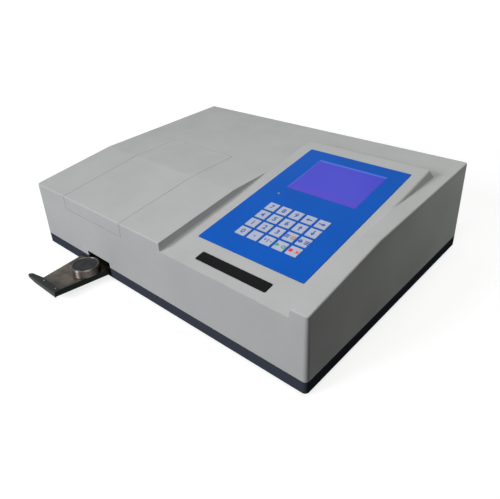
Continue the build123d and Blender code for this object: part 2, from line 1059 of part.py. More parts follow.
def drawer_outline(inset):
    """Plan of the drawer: straight sides in the rails, narrowing to the handle."""
    half_body = drawer_body_width / 2 - inset
    half_nose = drawer_nose_width / 2 - inset
    return [
        (drawer_mid_x - half_body, drawer_inner_end),
        (drawer_mid_x - half_body, front_y),
        (drawer_mid_x - half_nose, drawer_end + inset),
        (drawer_mid_x + half_nose, drawer_end + inset),
        (drawer_mid_x + half_body, front_y),
        (drawer_mid_x + half_body, drawer_inner_end),
    ]


def make_drawer_tray():
    """Bent sheet tray with turned-down sides and a hole that centres the sample ring."""
    tray = plan_slab(drawer_outline(0), drawer_low, drawer_top)
    hollow = plan_slab(drawer_outline(drawer_sheet), drawer_low, drawer_top - drawer_sheet)
    tray -= hollow
    for x, y in handle_screw_places():
        tray -= upright(handle_screw_shank + handle_screw_gap, x, y, drawer_low, drawer_top)
    return tray - upright(cup_spigot_radius + cup_spigot_gap, cup_x, cup_y, drawer_low, drawer_top)


def make_drawer_handle():
    """Angle strip across the end of the drawer, with a tapered grip past its left side."""
    front = handle_front
    rear = front + handle_length
    high = drawer_top + handle_sheet
    low = drawer_top - handle_drop
    outline = [
        (rear, drawer_top),
        (rear, high),
        (front, high),
        (front, low),
        (front + handle_sheet, low),
        (front + handle_sheet, drawer_top),
    ]
    left = drawer_mid_x - handle_left_reach
    right = drawer_mid_x + handle_right_reach
    strip = side_slab(outline, left, right)
    bend = strip.edges().filter_by(Axis.X).sort_by_distance((left, front, high))[0]
    strip = fillet(bend, handle_bend)
    plan = [
        (left, front),
        (right, front),
        (right, rear),
        (drawer_mid_x - drawer_nose_width / 2, rear),
        (left + handle_slant, rear - handle_taper),
    ]
    strip &= plan_slab(plan, low, high)
    toe = Polygon(
        (left, low),
        (left + handle_toe_length, low),
        (left, low + handle_toe_height),
        align=None,
    )
    strip -= face_slab(toe, 0, 0, front, rear)
    for x, y in handle_screw_places():
        strip -= upright(handle_screw_shank + handle_screw_gap, x, y, drawer_top, high)
    return strip


def handle_screw_places():
    """Two screws of the handle, near the drawer's corners."""
    reach = handle_screw_pitch / 2
    mid = drawer_mid_x + handle_screw_shift
    y = drawer_end + handle_screw_setback
    return [(mid - reach, y), (mid + reach, y)]


def make_handle_screws():
    """Round-headed screws, which hold the handle on the end of the tray."""
    screws = Part()
    seat = drawer_top + handle_sheet
    shank_end = drawer_top - drawer_sheet - handle_screw_end
    for x, y in handle_screw_places():
        head = Cylinder(handle_screw_radius, handle_screw_height, align=STANDING)
        crown = head.edges().filter_by(GeomType.CIRCLE).sort_by(Axis.Z)[-1]
        head = fillet(crown, handle_screw_height / 2)
        screws += Pos(x, y, seat) * head + upright(handle_screw_shank, x, y, shank_end, seat)
    return screws


def make_sample_ring():
    """Turned steel ring with a floor and a spigot that drops into the drawer."""
    rim = drawer_top + cup_height
    ring = upright(cup_radius, cup_x, cup_y, drawer_top, rim)
    ring = chamfer(ring.edges().filter_by(GeomType.CIRCLE).sort_by(Axis.Z)[-1], cup_edge)
    ring += upright(cup_spigot_radius, cup_x, cup_y, drawer_top - cup_spigot_height, drawer_top)
    return ring - upright(cup_bore_radius, cup_x, cup_y, drawer_top + cup_floor, rim)


def make_pellet():
    """Pressed powder pellet in the ring."""
    rim = drawer_top + cup_height
    radius = cup_bore_radius - pellet_gap
    return upright(radius, cup_x, cup_y, drawer_top + cup_floor, rim - pellet_drop)


def make_drawer_rails():
    """Two channels on the base floor, which hold the drawer's sides."""
    rails = Part()
    edge = drawer_body_width / 2
    y0 = front_y + cover_wall + tongue_gap + tongue_thickness + rail_front_gap
    y1 = front_y + rail_rear_setback
    floor_top = drawer_low - rail_gap
    lip_low = drawer_top + rail_gap
    for side in (-1, 1):
        outline = [
            (edge + rail_gap + rail_wall, base_floor),
            (edge + rail_gap + rail_wall, lip_low + rail_wall),
            (edge - rail_lip, lip_low + rail_wall),
            (edge - rail_lip, lip_low),
            (edge + rail_gap, lip_low),
            (edge + rail_gap, floor_top),
            (edge - rail_floor, floor_top),
            (edge - rail_floor, base_floor),
        ]
        placed = [(drawer_mid_x + side * across, up) for across, up in outline]
        rails += face_slab(Polygon(*placed, align=None), 0, 0, y0, y1)
    return rails


# Measuring head
head_y = cup_y + drawer_travel
supply_left = frame_side + supply_gap


def make_head_frame():
    """Bridge over the drawer, with feet on the base floor and a port over the sample."""
    y0 = head_y - frame_length / 2
    y1 = head_y + frame_length / 2
    left = drawer_mid_x - frame_half
    right = drawer_mid_x + frame_half
    bridge = block(left - frame_leg, right + frame_leg, y0, y1, base_floor, frame_top)
    bridge -= block(left, right, y0, y1, base_floor, frame_top - frame_plate)
    toe_high = base_floor + frame_leg
    bridge += block(left - frame_leg - frame_toe, left, y0, y1, base_floor, toe_high)
    bridge += block(right, right + frame_leg + frame_toe, y0, y1, base_floor, toe_high)
    return bridge - upright(head_port_radius, cup_x, head_y, base_floor, frame_top)


def make_measuring_head():
    """Aluminium block with a beam port, a seat for the counter and a well for the source."""
    half = frame_length / 2 - head_margin
    left = cup_x - head_left_reach
    high = frame_top + head_height
    head = block(left, left + head_width, head_y - half, head_y + half, frame_top, high)
    head -= upright(beam_port_radius, cup_x, head_y, frame_top, high)
    axis_z = high + tube_radius - tube_sink
    seat_radius = tube_radius + tube_seat_gap
    head -= lying_y(seat_radius, cup_x, axis_z, head_y - half, head_y + half)
    source_x = cup_x - source_offset
    well_radius = source_radius + source_seat_gap
    return head - upright(well_radius, source_x, head_y, high - source_sink, high)


tube_axis_z = frame_top + head_height + tube_radius - tube_sink
tube_front = head_y - frame_length / 2 + head_margin


def make_detector_tube():
    """Gas-filled proportional counter with end caps, lying on the head."""
    tube_end = tube_front + tube_length
    tube = lying_y(tube_radius, cup_x, tube_axis_z, tube_front, tube_end)
    rear_cap = lying_y(tube_cap_radius, cup_x, tube_axis_z, tube_end - tube_cap_length, tube_end)
    return tube + rear_cap


def make_source_holder():
    """Shielded source in its well, with a screwed cap."""
    high = frame_top + head_height
    x = cup_x - source_offset
    holder = upright(source_radius, x, head_y, high - source_sink, high + source_height)
    top = high + source_height + source_cap_height
    holder += upright(source_cap_radius, x, head_y, high + source_height, top)
    return holder


def make_preamp_box():
    """Screened amplifier box on the end of the counter."""
    y0 = tube_front + tube_length
    half = preamp_width / 2
    mid = preamp_height / 2
    box = block(
        cup_x - half, cup_x + half, y0, y0 + preamp_length, tube_axis_z - mid, tube_axis_z + mid
    )
    return fillet(box.edges().filter_by(Axis.Y), screen_corner)


# Electronics
def make_main_board():
    """Processor board with its chips and one row of sockets."""
    front = main_board_front
    top = deck_height + board_thickness
    board = block(
        main_board_left,
        main_board_left + main_board_width,
        front,
        front + main_board_length,
        deck_height,
        top,
    )
    column_pitch = (main_board_width - 2 * chip_margin - chip_side) / 2
    for column in range(3):
        for row in range(3):
            x = main_board_left + chip_margin + column * column_pitch
            y = front + chip_margin + row * chip_pitch
            board += block(x, x + chip_side, y, y + chip_side, top, top + chip_height)
    x = main_board_left + (main_board_width - socket_width) / 2
    y = front + main_board_length - deck_post_inset - socket_depth
    return board + block(x, x + socket_width, y, y + socket_depth, top, top + socket_height)


def make_power_board():
    """Supply board with a row of capacitors."""
    front = power_board_front
    top = deck_height + board_thickness
    board = block(
        power_board_left,
        power_board_left + power_board_width,
        front,
        front + power_board_length,
        deck_height,
        top,
    )
    for number in range(3):
        x = power_board_left + capacitor_start + capacitor_pitch * number
        y = front + power_board_length / 2
        board += upright(capacitor_radius, x, y, top, top + capacitor_height)
    return board


def make_transformer():
    """Laminated core with its winding, on the base floor."""
    mid_x = power_board_left + power_board_width / 2
    mid_y = front_y + transformer_setback
    half_w = transformer_width / 2
    half_l = transformer_length / 2
    high = base_floor + transformer_height
    core = block(
        mid_x - half_w, mid_x + half_w, mid_y - half_l, mid_y + half_l, base_floor, high
    )
    winding_low = base_floor + (transformer_height - winding_height) / 2
    winding = block(
        mid_x - winding_width / 2,
        mid_x + winding_width / 2,
        mid_y - half_l - winding_overhang,
        mid_y + half_l + winding_overhang,
        winding_low,
        winding_low + winding_height,
    )
    return core + fillet(winding.edges().filter_by(Axis.Y), screen_corner)


def make_supply():
    """High-voltage module in a screened box with fixing lugs."""
    x1 = supply_left + supply_width
    y0 = front_y + supply_setback
    y1 = y0 + supply_length
    box = block(supply_left, x1, y0, y1, base_floor, base_floor + supply_height)
    box = fillet(box.edges().filter_by(Axis.Z), screen_corner)
    lugs = block(
        supply_left,
        x1,
        y0 - supply_lug,
        y1 + supply_lug,
        base_floor,
        base_floor + supply_lug_thickness,
    )
    return box + lugs


# Rear panel and connectors
rear_mid_z = rear_window_low + rear_window_height / 2
bezel_body_width = bezel_width - bezel_wall
bezel_body_height = bezel_height - bezel_wall
inlet_cavity_z = rear_mid_z - inlet_cavity_drop
fuse_z = rear_mid_z + fuse_lift


def make_rear_panel():
    """Steel plate behind the window of the rear wall, with a foot on the base floor."""
    margin = rear_panel_margin
    left = rear_window_left - margin
    right = rear_window_left + rear_window_width + margin
    inner = rear_panel_y - rear_panel_thickness
    top = rear_window_low + rear_window_height + margin
    plate = block(left, right, inner, rear_panel_y, base_floor, top)
    foot_top = base_floor + rear_panel_thickness
    plate += block(left, right, inner - rear_foot_length, inner, base_floor, foot_top)
    openings = (
        (inlet_mid_x, inlet_body_width + 2 * fit_gap, inlet_body_height + 2 * fit_gap),
        (rocker_mid_x, bezel_body_width + 2 * fit_gap, bezel_body_height + 2 * fit_gap),
        (serial_mid_x, serial_shell_width, serial_shell_height),
    )
    for x, wide, tall in openings:
        plate -= wall_block(x, rear_mid_z, wide, tall, inner, rear_panel_y)
    for side in (-1, 1):
        x = serial_mid_x + side * post_pitch / 2
        plate -= lying_y(jack_bore + fit_gap, x, rear_mid_z, inner, rear_panel_y)
    return plate


def inlet_cavity():
    """Space for an appliance plug, with its two lower corners cut off."""
    half = inlet_cavity_width / 2
    tall = inlet_cavity_height / 2
    cut = inlet_cavity_chamfer
    outline = Polygon(
        (-half, tall),
        (-half, -tall + cut),
        (-half + cut, -tall),
        (half - cut, -tall),
        (half, -tall + cut),
        (half, tall),
        align=None,
    )
    face = rear_panel_y + inlet_flange_thickness
    return face_slab(outline, inlet_mid_x, inlet_cavity_z, face - inlet_cavity_depth, face)


def make_inlet():
    """Appliance inlet with a slot for the fuse drawer."""
    x = inlet_mid_x
    face = rear_panel_y + inlet_flange_thickness
    inner = rear_panel_y - inlet_body_depth
    flange = wall_block(
        x, rear_mid_z, inlet_flange_width, inlet_flange_height, rear_panel_y, face
    )
    flange = fillet(flange.edges().filter_by(Axis.Y), flange_corner)
    body = wall_block(x, rear_mid_z, inlet_body_width, inlet_body_height, inner, rear_panel_y)
    wide = fuse_width + 2 * fuse_gap
    tall = fuse_height + 2 * fuse_gap
    slot = wall_block(x, fuse_z, wide, tall, face - fuse_depth, face)
    return flange + body - inlet_cavity() - slot


def make_inlet_pins():
    """Three blades: two poles and a raised earth."""
    pins = Part()
    root = rear_panel_y + inlet_flange_thickness - inlet_cavity_depth
    places = ((-pin_spread, -pin_rise), (0, pin_rise), (pin_spread, -pin_rise))
    for across, up in places:
        x = inlet_mid_x + across
        z = inlet_cavity_z + up
        pins += wall_block(x, z, pin_thickness, pin_width, root, root + pin_length)
    return pins


def make_fuse_drawer():
    """Fuse carrier with a finger ridge."""
    x = inlet_mid_x
    face = rear_panel_y + inlet_flange_thickness
    drawer = wall_block(x, fuse_z, fuse_width, fuse_height, face - fuse_depth, face)
    ridge_z = fuse_z + (fuse_height - fuse_ridge_height) / 2
    return drawer + wall_block(x, ridge_z, fuse_width, fuse_ridge_height, face, face + fuse_ridge)


def make_rocker_bezel():
    """Frame and body of the power switch, open to the rear for the rocker."""
    x = rocker_mid_x
    face = rear_panel_y + bezel_thickness
    inner = rear_panel_y - bezel_body_depth
    frame = wall_block(x, rear_mid_z, bezel_width, bezel_height, rear_panel_y, face)
    frame = fillet(frame.edges().filter_by(Axis.Y), flange_corner)
    body = wall_block(x, rear_mid_z, bezel_body_width, bezel_body_height, inner, rear_panel_y)
    well_width = bezel_width - 2 * bezel_wall
    well_height = bezel_height - 2 * bezel_wall
    well = wall_block(x, rear_mid_z, well_width, well_height, inner + bezel_wall, face)
    pivot_y = face - rocker_pivot_depth
    reach = bezel_body_width / 2
    pivot = lying_x(rocker_pivot_radius, pivot_y, rear_mid_z, x - reach, x + reach)
    return frame + body - well + pivot


def make_rocker():
    """Rocker with a bowed face, at rest with its lower end out."""
    face = rear_panel_y + bezel_thickness
    pivot_y = face - rocker_pivot_depth
    half = bezel_width / 2 - bezel_wall - rocker_gap
    bow = lying_x(rocker_radius, 0, 0, -half, half)
    crest = rocker_pivot_depth + rocker_proud
    bow = Pos(0, crest - rocker_radius, 0) * bow
    tall = bezel_height / 2 - bezel_wall - rocker_gap
    tall_top = tall - rocker_proud / 2
    slab = block(-half, half, 0, crest, -tall_top, tall_top)
    hub = lying_x(rocker_hub_radius, 0, 0, -half, half)
    rocker = (slab & bow) + hub
    bore = rocker_pivot_radius + hinge_running_gap
    rocker -= lying_x(bore, 0, 0, -half, half)
    return Pos(rocker_mid_x, pivot_y, rear_mid_z) * Rot(rocker_tilt, 0, 0) * rocker


def make_serial_connector():
    """Nine-way socket: flange, slanted metal shell and insulator with its holes."""
    base_y = rear_panel_y
    flange_end = base_y + serial_flange_thickness
    flange = wall_block(
        serial_mid_x,
        rear_mid_z,
        serial_flange_width,
        serial_flange_height,
        base_y,
        flange_end,
    )
    half = serial_shell_width / 2
    tall = serial_shell_height / 2
    shift = serial_shell_height * sin(radians(serial_shell_slope))
    outline = Polygon(
        (-half + fit_gap, tall - fit_gap),
        (half - fit_gap, tall - fit_gap),
        (half - shift, -tall + fit_gap),
        (-half + shift, -tall + fit_gap),
        align=None,
    )
    inner_y = base_y - serial_body_depth
    shell_end = base_y + serial_shell_length
    connector = flange + face_slab(outline, serial_mid_x, rear_mid_z, inner_y, shell_end)
    hole_start = shell_end - serial_hole_depth
    for count, up in ((5, 1), (4, -1)):
        z = rear_mid_z + up * serial_row_pitch / 2
        for number in range(count):
            x = serial_mid_x + (number - (count - 1) / 2) * serial_hole_pitch
            connector -= lying_y(serial_hole_radius, x, z, hole_start, shell_end)
    for side in (-1, 1):
        x = serial_mid_x + side * post_pitch / 2
        connector -= lying_y(jack_bore, x, rear_mid_z, base_y, flange_end)
    return connector


def make_jack_posts():
    """Two threaded hexagon posts beside the socket."""
    posts = Part()
    start = rear_panel_y + serial_flange_thickness
    for side in (-1, 1):
        x = serial_mid_x + side * post_pitch / 2
        hexagon = RegularPolygon(jack_radius, 6)
        post = face_slab(hexagon, x, rear_mid_z, start, start + jack_length)
        posts += post - lying_y(jack_bore, x, rear_mid_z, start, start + jack_length)
    return posts


# Writing
key_names = (
    ("7", "8", "9", "left", "right")
    + ("4", "5", "6", "up", "down")
    + ("1", "2", "3", "menu", "print")
    + ("0", "point", "sign", "start", "stop")
)

if __name__ == "__main__":
    save("top_cover", make_top_cover())
    save("base_tray", make_base_tray())
    save("rubber_feet", make_feet())
    save("case_screws", make_case_screws())
    save("keypad_overlay", make_overlay())
    save("lcd_window", make_window())
    save("lcd_module", make_lcd_module())
    save("display_board", make_display_board())
    save("key_domes", make_domes())
    save("indicator_led", make_led())
    save("label_strip", make_label())
    for key_name, (key_x, key_along) in zip(key_names, key_places()):
        save("key_" + key_name, make_key(key_x, key_along))
    save("lid_panel", make_lid())
    save("lid_arms", make_lid_arms())
    save("hinge_brackets", make_hinge_brackets())
    save("hinge_pins", make_hinge_pins())
    save("lid_catch", make_lid_catch())
    save("drawer_tray", make_drawer_tray())
    save("drawer_handle", make_drawer_handle())
    save("handle_screws", make_handle_screws())
    save("sample_ring", make_sample_ring())
    save("pellet", make_pellet())
    save("drawer_rails", make_drawer_rails())
    save("head_frame", make_head_frame())
    save("measuring_head", make_measuring_head())
    save("detector_tube", make_detector_tube())
    save("source_holder", make_source_holder())
    save("preamp_box", make_preamp_box())
    save("hv_module", make_supply())
    save("main_board", make_main_board())
    save("power_board", make_power_board())
    save("transformer", make_transformer())
    save("rear_panel", make_rear_panel())
    save("inlet_body", make_inlet())
    save("inlet_pins", make_inlet_pins())
    save("fuse_drawer", make_fuse_drawer())
    save("rocker_bezel", make_rocker_bezel())
    save("power_rocker", make_rocker())
    save("serial_connector", make_serial_connector())
    save("jack_posts", make_jack_posts())
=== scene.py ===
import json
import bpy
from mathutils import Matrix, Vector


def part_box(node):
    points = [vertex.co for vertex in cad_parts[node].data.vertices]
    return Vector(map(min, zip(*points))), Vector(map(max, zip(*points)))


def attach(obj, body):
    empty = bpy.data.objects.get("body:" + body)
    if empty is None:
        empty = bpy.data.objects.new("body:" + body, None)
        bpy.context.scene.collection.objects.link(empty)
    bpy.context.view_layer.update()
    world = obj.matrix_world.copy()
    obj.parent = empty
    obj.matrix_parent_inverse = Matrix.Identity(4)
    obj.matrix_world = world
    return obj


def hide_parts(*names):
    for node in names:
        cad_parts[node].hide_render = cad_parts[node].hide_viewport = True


bl_info = {
    "name": "X-Ray Spectrometer",
    "version": (1, 0, 0),
    "blender": (4, 5, 0),
    "location": "View3D > Sidebar > Spectrometer",
    "description": "Finishes and small parts of a benchtop x-ray fluorescence spectrometer",
    "category": "Add Mesh",
}

from math import cos, pi, radians, sin

import bmesh
import bpy
from bpy.props import FloatProperty, FloatVectorProperty, PointerProperty
from mathutils import Matrix, Vector

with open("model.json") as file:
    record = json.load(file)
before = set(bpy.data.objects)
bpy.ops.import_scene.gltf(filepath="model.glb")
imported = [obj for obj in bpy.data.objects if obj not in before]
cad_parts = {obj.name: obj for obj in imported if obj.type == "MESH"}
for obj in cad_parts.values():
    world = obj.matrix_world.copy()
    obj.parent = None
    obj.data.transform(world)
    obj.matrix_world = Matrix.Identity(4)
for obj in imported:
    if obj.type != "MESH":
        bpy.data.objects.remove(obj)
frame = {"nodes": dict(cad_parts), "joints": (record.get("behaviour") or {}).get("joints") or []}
nodes = frame["nodes"]
MM = 0.001
HOUSING = "housing"

# Main board and transformer core, as the part builds them
BOARD_SHEET = 1.6 * MM
CHIP_TALL = 2.6 * MM
CORE_LONG = 54 * MM

# Patterns of the finishes
NO_STRETCH = (1.0, 1.0, 1.0)
TRACK_PITCH = 1.2 * MM
TRACK_FIELD = 14 * MM
PIXEL_PITCH = 0.6 * MM
LATHE_PITCH = 0.7 * MM
SHEET_PITCH = 1.0 * MM

# Screw heads: facets round, steps from rim to crown, and shares of the recess
HEAD_FACETS = 48
HEAD_STEPS = 10
RECESS_WIDTH_SHARE = 0.32
RECESS_DEPTH_SHARE = 0.45

# Edges with a greater angle between their faces are shaded sharp
SHARP_ANGLE = radians(35.0)

# How much the printed digits are thickened, as a share of their type size
LETTER_WEIGHT_SHARE = 0.022

# Camera of the photograph, in metres and degrees
CAMERA_PLACE = (0.421596, -0.413597, 0.372520)
CAMERA_TURN = (60.36392, 1.612347, 40.802492)

# Lamps: side of the square, place and colour
LAMPS = {
    "key": (0.85, (-0.76, -2.27, 1.24), (0.96, 0.985, 1.0)),
    "rear": (1.2, (0.35, 2.4, 1.1), (1.0, 1.0, 1.0)),
    "side": (0.2, (0.45, 0.35, 0.35), (0.86, 1.0, 0.84)),
    "top": (0.4, (0.25, -0.28, 0.8), (1.0, 0.98, 0.95)),
    "fill": (0.5, (-0.28, 0.32, 0.8), (1.0, 1.0, 1.0)),
}
LAMP_TARGET = Vector((0, 0, 0.05))

# Floor: radius, and the distances between which it grows to full white
FLOOR_RADIUS = 12.0
FLOOR_NEAR = 0.5
FLOOR_FAR = 1.6


def joint_axis(name):
    """Direction of a joint of the frame."""
    for joint in frame["joints"]:
        if joint["name"] == name:
            return Vector(joint["axis"]).normalized()
    raise ValueError("the frame has no joint " + name)


PANEL_UP = joint_axis("key_0_press")
PANEL_BACK = PANEL_UP.cross(Vector((1, 0, 0)))
PANEL_TURN = Matrix((Vector((1, 0, 0)), PANEL_BACK, PANEL_UP)).transposed()


# Places read from the frame
def top_middle(node, direction):
    """Middle of the face of a node that lies furthest along a direction."""
    points = [vertex.co for vertex in nodes[node].data.vertices]
    reach = max(point.dot(direction) for point in points)
    face = [point for point in points if point.dot(direction) > reach - 0.05 * MM]
    low = Vector(min(point[axis] for point in face) for axis in range(3))
    high = Vector(max(point[axis] for point in face) for axis in range(3))
    return (low + high) / 2


def box_middle(node):
    """Middle of a node's box."""
    low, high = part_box(node)
    return (Vector(low) + Vector(high)) / 2


def flat_tops(node, level):
    """Lowest and highest corner, in plan, of each flat top of a node at a height."""
    mesh = nodes[node].data
    tops = []
    for face in mesh.polygons:
        if face.normal.z < 0.99 or abs(face.center.z - level) > 0.05 * MM:
            continue
        corners = {mesh.vertices[index].co.to_2d().freeze() for index in face.vertices}
        for top in [top for top in tops if top & corners]:
            corners |= top
            tops.remove(top)
        tops.append(corners)
    boxes = []
    for top in tops:
        across = [corner.x for corner in top]
        along = [corner.y for corner in top]
        boxes.append((min(across), min(along), max(across), max(along)))
    return sorted(boxes)


# Node graphs
class Tree:
    """A node tree, with short calls for the nodes that its users share."""

    def __init__(self, tree):
        self.tree = tree

    def add(self, kind):
        return self.tree.nodes.new(kind)

    def put(self, source, socket):
        """Links an output, or sets a plain value."""
        if isinstance(source, bpy.types.NodeSocket):
            self.tree.links.new(source, socket)
        elif socket.type == "RGBA":
            socket.default_value = (*source[:3], 1.0)
        else:
            socket.default_value = source

    def math(self, operation, first, second=0.0, third=0.0):
        node = self.add("ShaderNodeMath")
        node.operation = operation
        self.put(first, node.inputs[0])
        self.put(second, node.inputs[1])
        self.put(third, node.inputs[2])
        return node.outputs[0]

    def ramp(self, source, low, high, start=0.0, end=1.0):
        """Maps a range of a value to another, held at its ends."""
        node = self.add("ShaderNodeMapRange")
        self.put(source, node.inputs["Value"])
        node.inputs["From Min"].default_value = low
        node.inputs["From Max"].default_value = high
        node.inputs["To Min"].default_value = start
        node.inputs["To Max"].default_value = end
        return node.outputs[0]

    def mix(self, share, first, second):
        node = self.add("ShaderNodeMix")
        node.data_type = "RGBA"
        self.put(share, node.inputs["Factor"])
        self.put(first, node.inputs["A"])
        self.put(second, node.inputs["B"])
        return node.outputs["Result"]

    def seen(self):
        """One for rays from the camera, reflections and transmission, zero for soft bounces."""
        path = self.add("ShaderNodeLightPath").outputs
        direct = self.math("MAXIMUM", path["Is Camera Ray"], path["Is Glossy Ray"])
        return self.math("MAXIMUM", direct, path["Is Transmission Ray"])


class Graph(Tree):
    """The node tree of a material."""

    def __init__(self, name, roughness, metallic=0.0, specular=0.5):
        self.material = bpy.data.materials.new(name)
        self.material.use_nodes = True
        super().__init__(self.material.node_tree)
        self.shader = self.tree.nodes["Principled BSDF"]
        self.shader.inputs["Roughness"].default_value = roughness
        self.shader.inputs["Metallic"].default_value = metallic
        self.shader.inputs["Specular IOR Level"].default_value = specular
        coordinates = self.add("ShaderNodeTexCoord")
        self.place = coordinates.outputs["Object"]
        self.facing = coordinates.outputs["Normal"]
        self.height = None

    def split(self, source=None):
        """The three coordinates of a place."""
        node = self.add("ShaderNodeSeparateXYZ")
        self.put(source or self.place, node.inputs[0])
        return node.outputs

    def stretched(self, scale):
        """The place, scaled by axis: a small factor draws a pattern out along its axis."""
        node = self.add("ShaderNodeMapping")
        self.put(self.place, node.inputs["Vector"])
        node.inputs["Scale"].default_value = scale
        return node.outputs[0]

    def noise(self, size, detail=2.0, source=None, roughness=0.5):
        """Noise whose features are about a size in metres."""
        node = self.add("ShaderNodeTexNoise")
        self.put(source or self.place, node.inputs["Vector"])
        node.inputs["Scale"].default_value = 1.0 / size
        node.inputs["Detail"].default_value = detail
        node.inputs["Roughness"].default_value = roughness
        return node.outputs["Fac"]

    def waves(self, value, pitch):
        """Sine waves along a value."""
        return self.math("SINE", self.math("MULTIPLY", value, 2 * pi / pitch))

    def mottled(self, source, low, high, tones):
        """Two tones, mixed by a range of a value."""
        return self.mix(self.ramp(source, low, high), *tones)

    def within(self, value, middle, half):
        """One within a half width of a middle, zero elsewhere."""
        return self.math("COMPARE", value, middle, half)

    def colour(self, source):
        self.put(source, self.shader.inputs["Base Color"])

    def rough(self, source):
        self.put(source, self.shader.inputs["Roughness"])

    def relief(self, source, depth, strength=1.0):
        """Adds a bump on top of those before it."""
        node = self.add("ShaderNodeBump")
        node.inputs["Distance"].default_value = depth
        node.inputs["Strength"].default_value = strength
        self.put(source, node.inputs["Height"])
        if self.height is not None:
            self.put(self.height, node.inputs["Normal"])
        self.height = node.outputs["Normal"]
        self.put(self.height, self.shader.inputs["Normal"])


# Finishes
def shade(colour, factor):
    """A colour made lighter or darker."""
    return tuple(min(channel * factor, 1.0) for channel in colour[:3])


def shades(colour, darker, lighter):
    """A darker and a lighter tone of a colour."""
    return shade(colour, darker), shade(colour, lighter)


def moulded_plastic(name, colour, roughness, grain, depth, specular=0.35):
    """Satin moulded plastic: fine spark texture, faint mottling and slight handling marks."""
    graph = Graph(name, roughness, specular=specular)
    mottle = graph.noise(45 * MM, 3.0)
    graph.colour(graph.mottled(mottle, 0.3, 0.7, shades(colour, 0.965, 1.03)))
    rub = graph.noise(20 * MM, 4.0, graph.stretched((1.0, 0.35, 0.6)))
    graph.rough(graph.ramp(rub, 0.3, 0.75, roughness * 0.88, roughness * 1.14))
    graph.relief(graph.noise(grain, 2.0, roughness=0.65), depth)
    return graph.material


def printed_film(name, colour, roughness, specular=0.2):
    """Reverse-printed polyester film: even colour, fine texture and a soft gloss."""
    graph = Graph(name, roughness, specular=specular)
    cloud = graph.noise(80 * MM, 2.0)
    graph.colour(graph.mottled(cloud, 0.3, 0.7, shades(colour, 0.95, 1.05)))
    graph.relief(graph.noise(0.4 * MM, 1.0), 0.02 * MM)
    graph.relief(graph.noise(30 * MM, 1.0), 0.4 * MM, strength=0.35)
    return graph.material


def rubber(name, colour):
    """Matt moulded rubber with a little dust."""
    graph = Graph(name, 0.85)
    dust = graph.noise(4 * MM, 4.0)
    graph.colour(graph.mottled(dust, 0.45, 0.8, shades(colour, 1.0, 2.4)))
    graph.relief(graph.noise(0.7 * MM, 3.0), 0.08 * MM)
    return graph.material


def brushed_metal(name, colour, roughness, stretch, stain=0.0):
    """Metal with fine lines along one direction, and an even or stained tone."""
    graph = Graph(name, roughness, metallic=1.0)
    lines = graph.noise(0.6 * MM, 3.0, graph.stretched(stretch))
    cloud = graph.noise(18 * MM, 4.0)
    tone = graph.mottled(lines, 0.3, 0.7, shades(colour, 0.82, 1.15))
    stained = graph.ramp(cloud, 0.45, 0.75, 0.0, stain)
    graph.colour(graph.mix(stained, tone, (0.1, 0.08, 0.06)))
    graph.rough(graph.ramp(lines, 0.25, 0.75, roughness * 0.75, roughness * 1.35))
    graph.relief(lines, 0.03 * MM)
    return graph.material


def turned_metal(name, colour, roughness, middle, rim_level, rim_sheen_colour):
    """Metal turned on a lathe, with rings about an upright axis and a lighter rim colour that is
    painted sheen.
    """
    graph = Graph(name, roughness, metallic=1.0)
    around = graph.add("ShaderNodeTangent")
    around.direction_type = "RADIAL"
    around.axis = "Z"
    graph.put(around.outputs[0], graph.shader.inputs["Tangent"])
    graph.shader.inputs["Anisotropic"].default_value = 1.0
    graph.shader.inputs["Anisotropic Rotation"].default_value = 0.25
    x, y, z = graph.split()
    across = graph.math("SUBTRACT", x, middle.x)
    along = graph.math("SUBTRACT", y, middle.y)
    squares = [graph.math("POWER", side, 2.0) for side in (across, along)]
    radius = graph.math("SQRT", graph.math("ADD", *squares))
    rings = graph.waves(graph.math("ADD", radius, z), LATHE_PITCH)
    cloud = graph.noise(6 * MM, 3.0)
    wall = graph.mottled(cloud, 0.3, 0.7, shades(colour, 0.7, 1.2))
    # Above the rim level the steel takes a lighter colour: painted sheen of the upward face.
    rim = graph.math("GREATER_THAN", z, rim_level)
    graph.colour(graph.mix(rim, wall, rim_sheen_colour))
    graph.rough(graph.ramp(cloud, 0.3, 0.75, roughness * 0.8, roughness * 1.4))
    graph.relief(rings, 0.012 * MM)
    return graph.material


def coated_metal(name, colour, roughness, wear_colour, wear=0.25, specular=0.4):
    """Baked paint or plating on sheet metal, with fine orange peel and worn spots."""
    graph = Graph(name, roughness, specular=specular)
    peel = graph.noise(1.2 * MM, 2.0)
    worn = graph.noise(12 * MM, 6.0, roughness=0.7)
    share = graph.ramp(worn, 0.62, 0.72, 0.0, wear)
    graph.colour(graph.mix(share, colour, wear_colour))
    graph.rough(graph.ramp(worn, 0.4, 0.8, roughness, roughness * 1.3))
    graph.relief(peel, 0.03 * MM)
    return graph.material


def circuit_board(name, parts_above=None):
    """Green solder mask with faint tracks, and dark packages above a height."""
    graph = Graph(name, 0.4)
    x, y, z = graph.split()
    fields = graph.add("ShaderNodeTexVoronoi")
    fields.distance = "CHEBYCHEV"
    fields.inputs["Scale"].default_value = 1.0 / TRACK_FIELD
    graph.put(graph.place, fields.inputs["Vector"])
    turned, kept = graph.split(fields.outputs["Color"])[:2]
    upright = graph.math("GREATER_THAN", turned, 0.5)
    waves = graph.mix(upright, graph.waves(y, TRACK_PITCH), graph.waves(x, TRACK_PITCH))
    tracks = graph.math("GREATER_THAN", waves, 0.3)
    tracks = graph.math("MULTIPLY", tracks, graph.math("GREATER_THAN", kept, 0.35))
    tone = graph.mix(tracks, (0.008, 0.11, 0.045), (0.02, 0.18, 0.075))
    if parts_above is not None:
        raised = graph.math("GREATER_THAN", z, parts_above)
        grain = graph.noise(0.8 * MM, 2.0)
        package = graph.mix(grain, (0.012, 0.012, 0.013), (0.03, 0.03, 0.032))
        tone = graph.mix(raised, tone, package)
    graph.colour(tone)
    graph.relief(tracks, 0.03 * MM)
    return graph.material


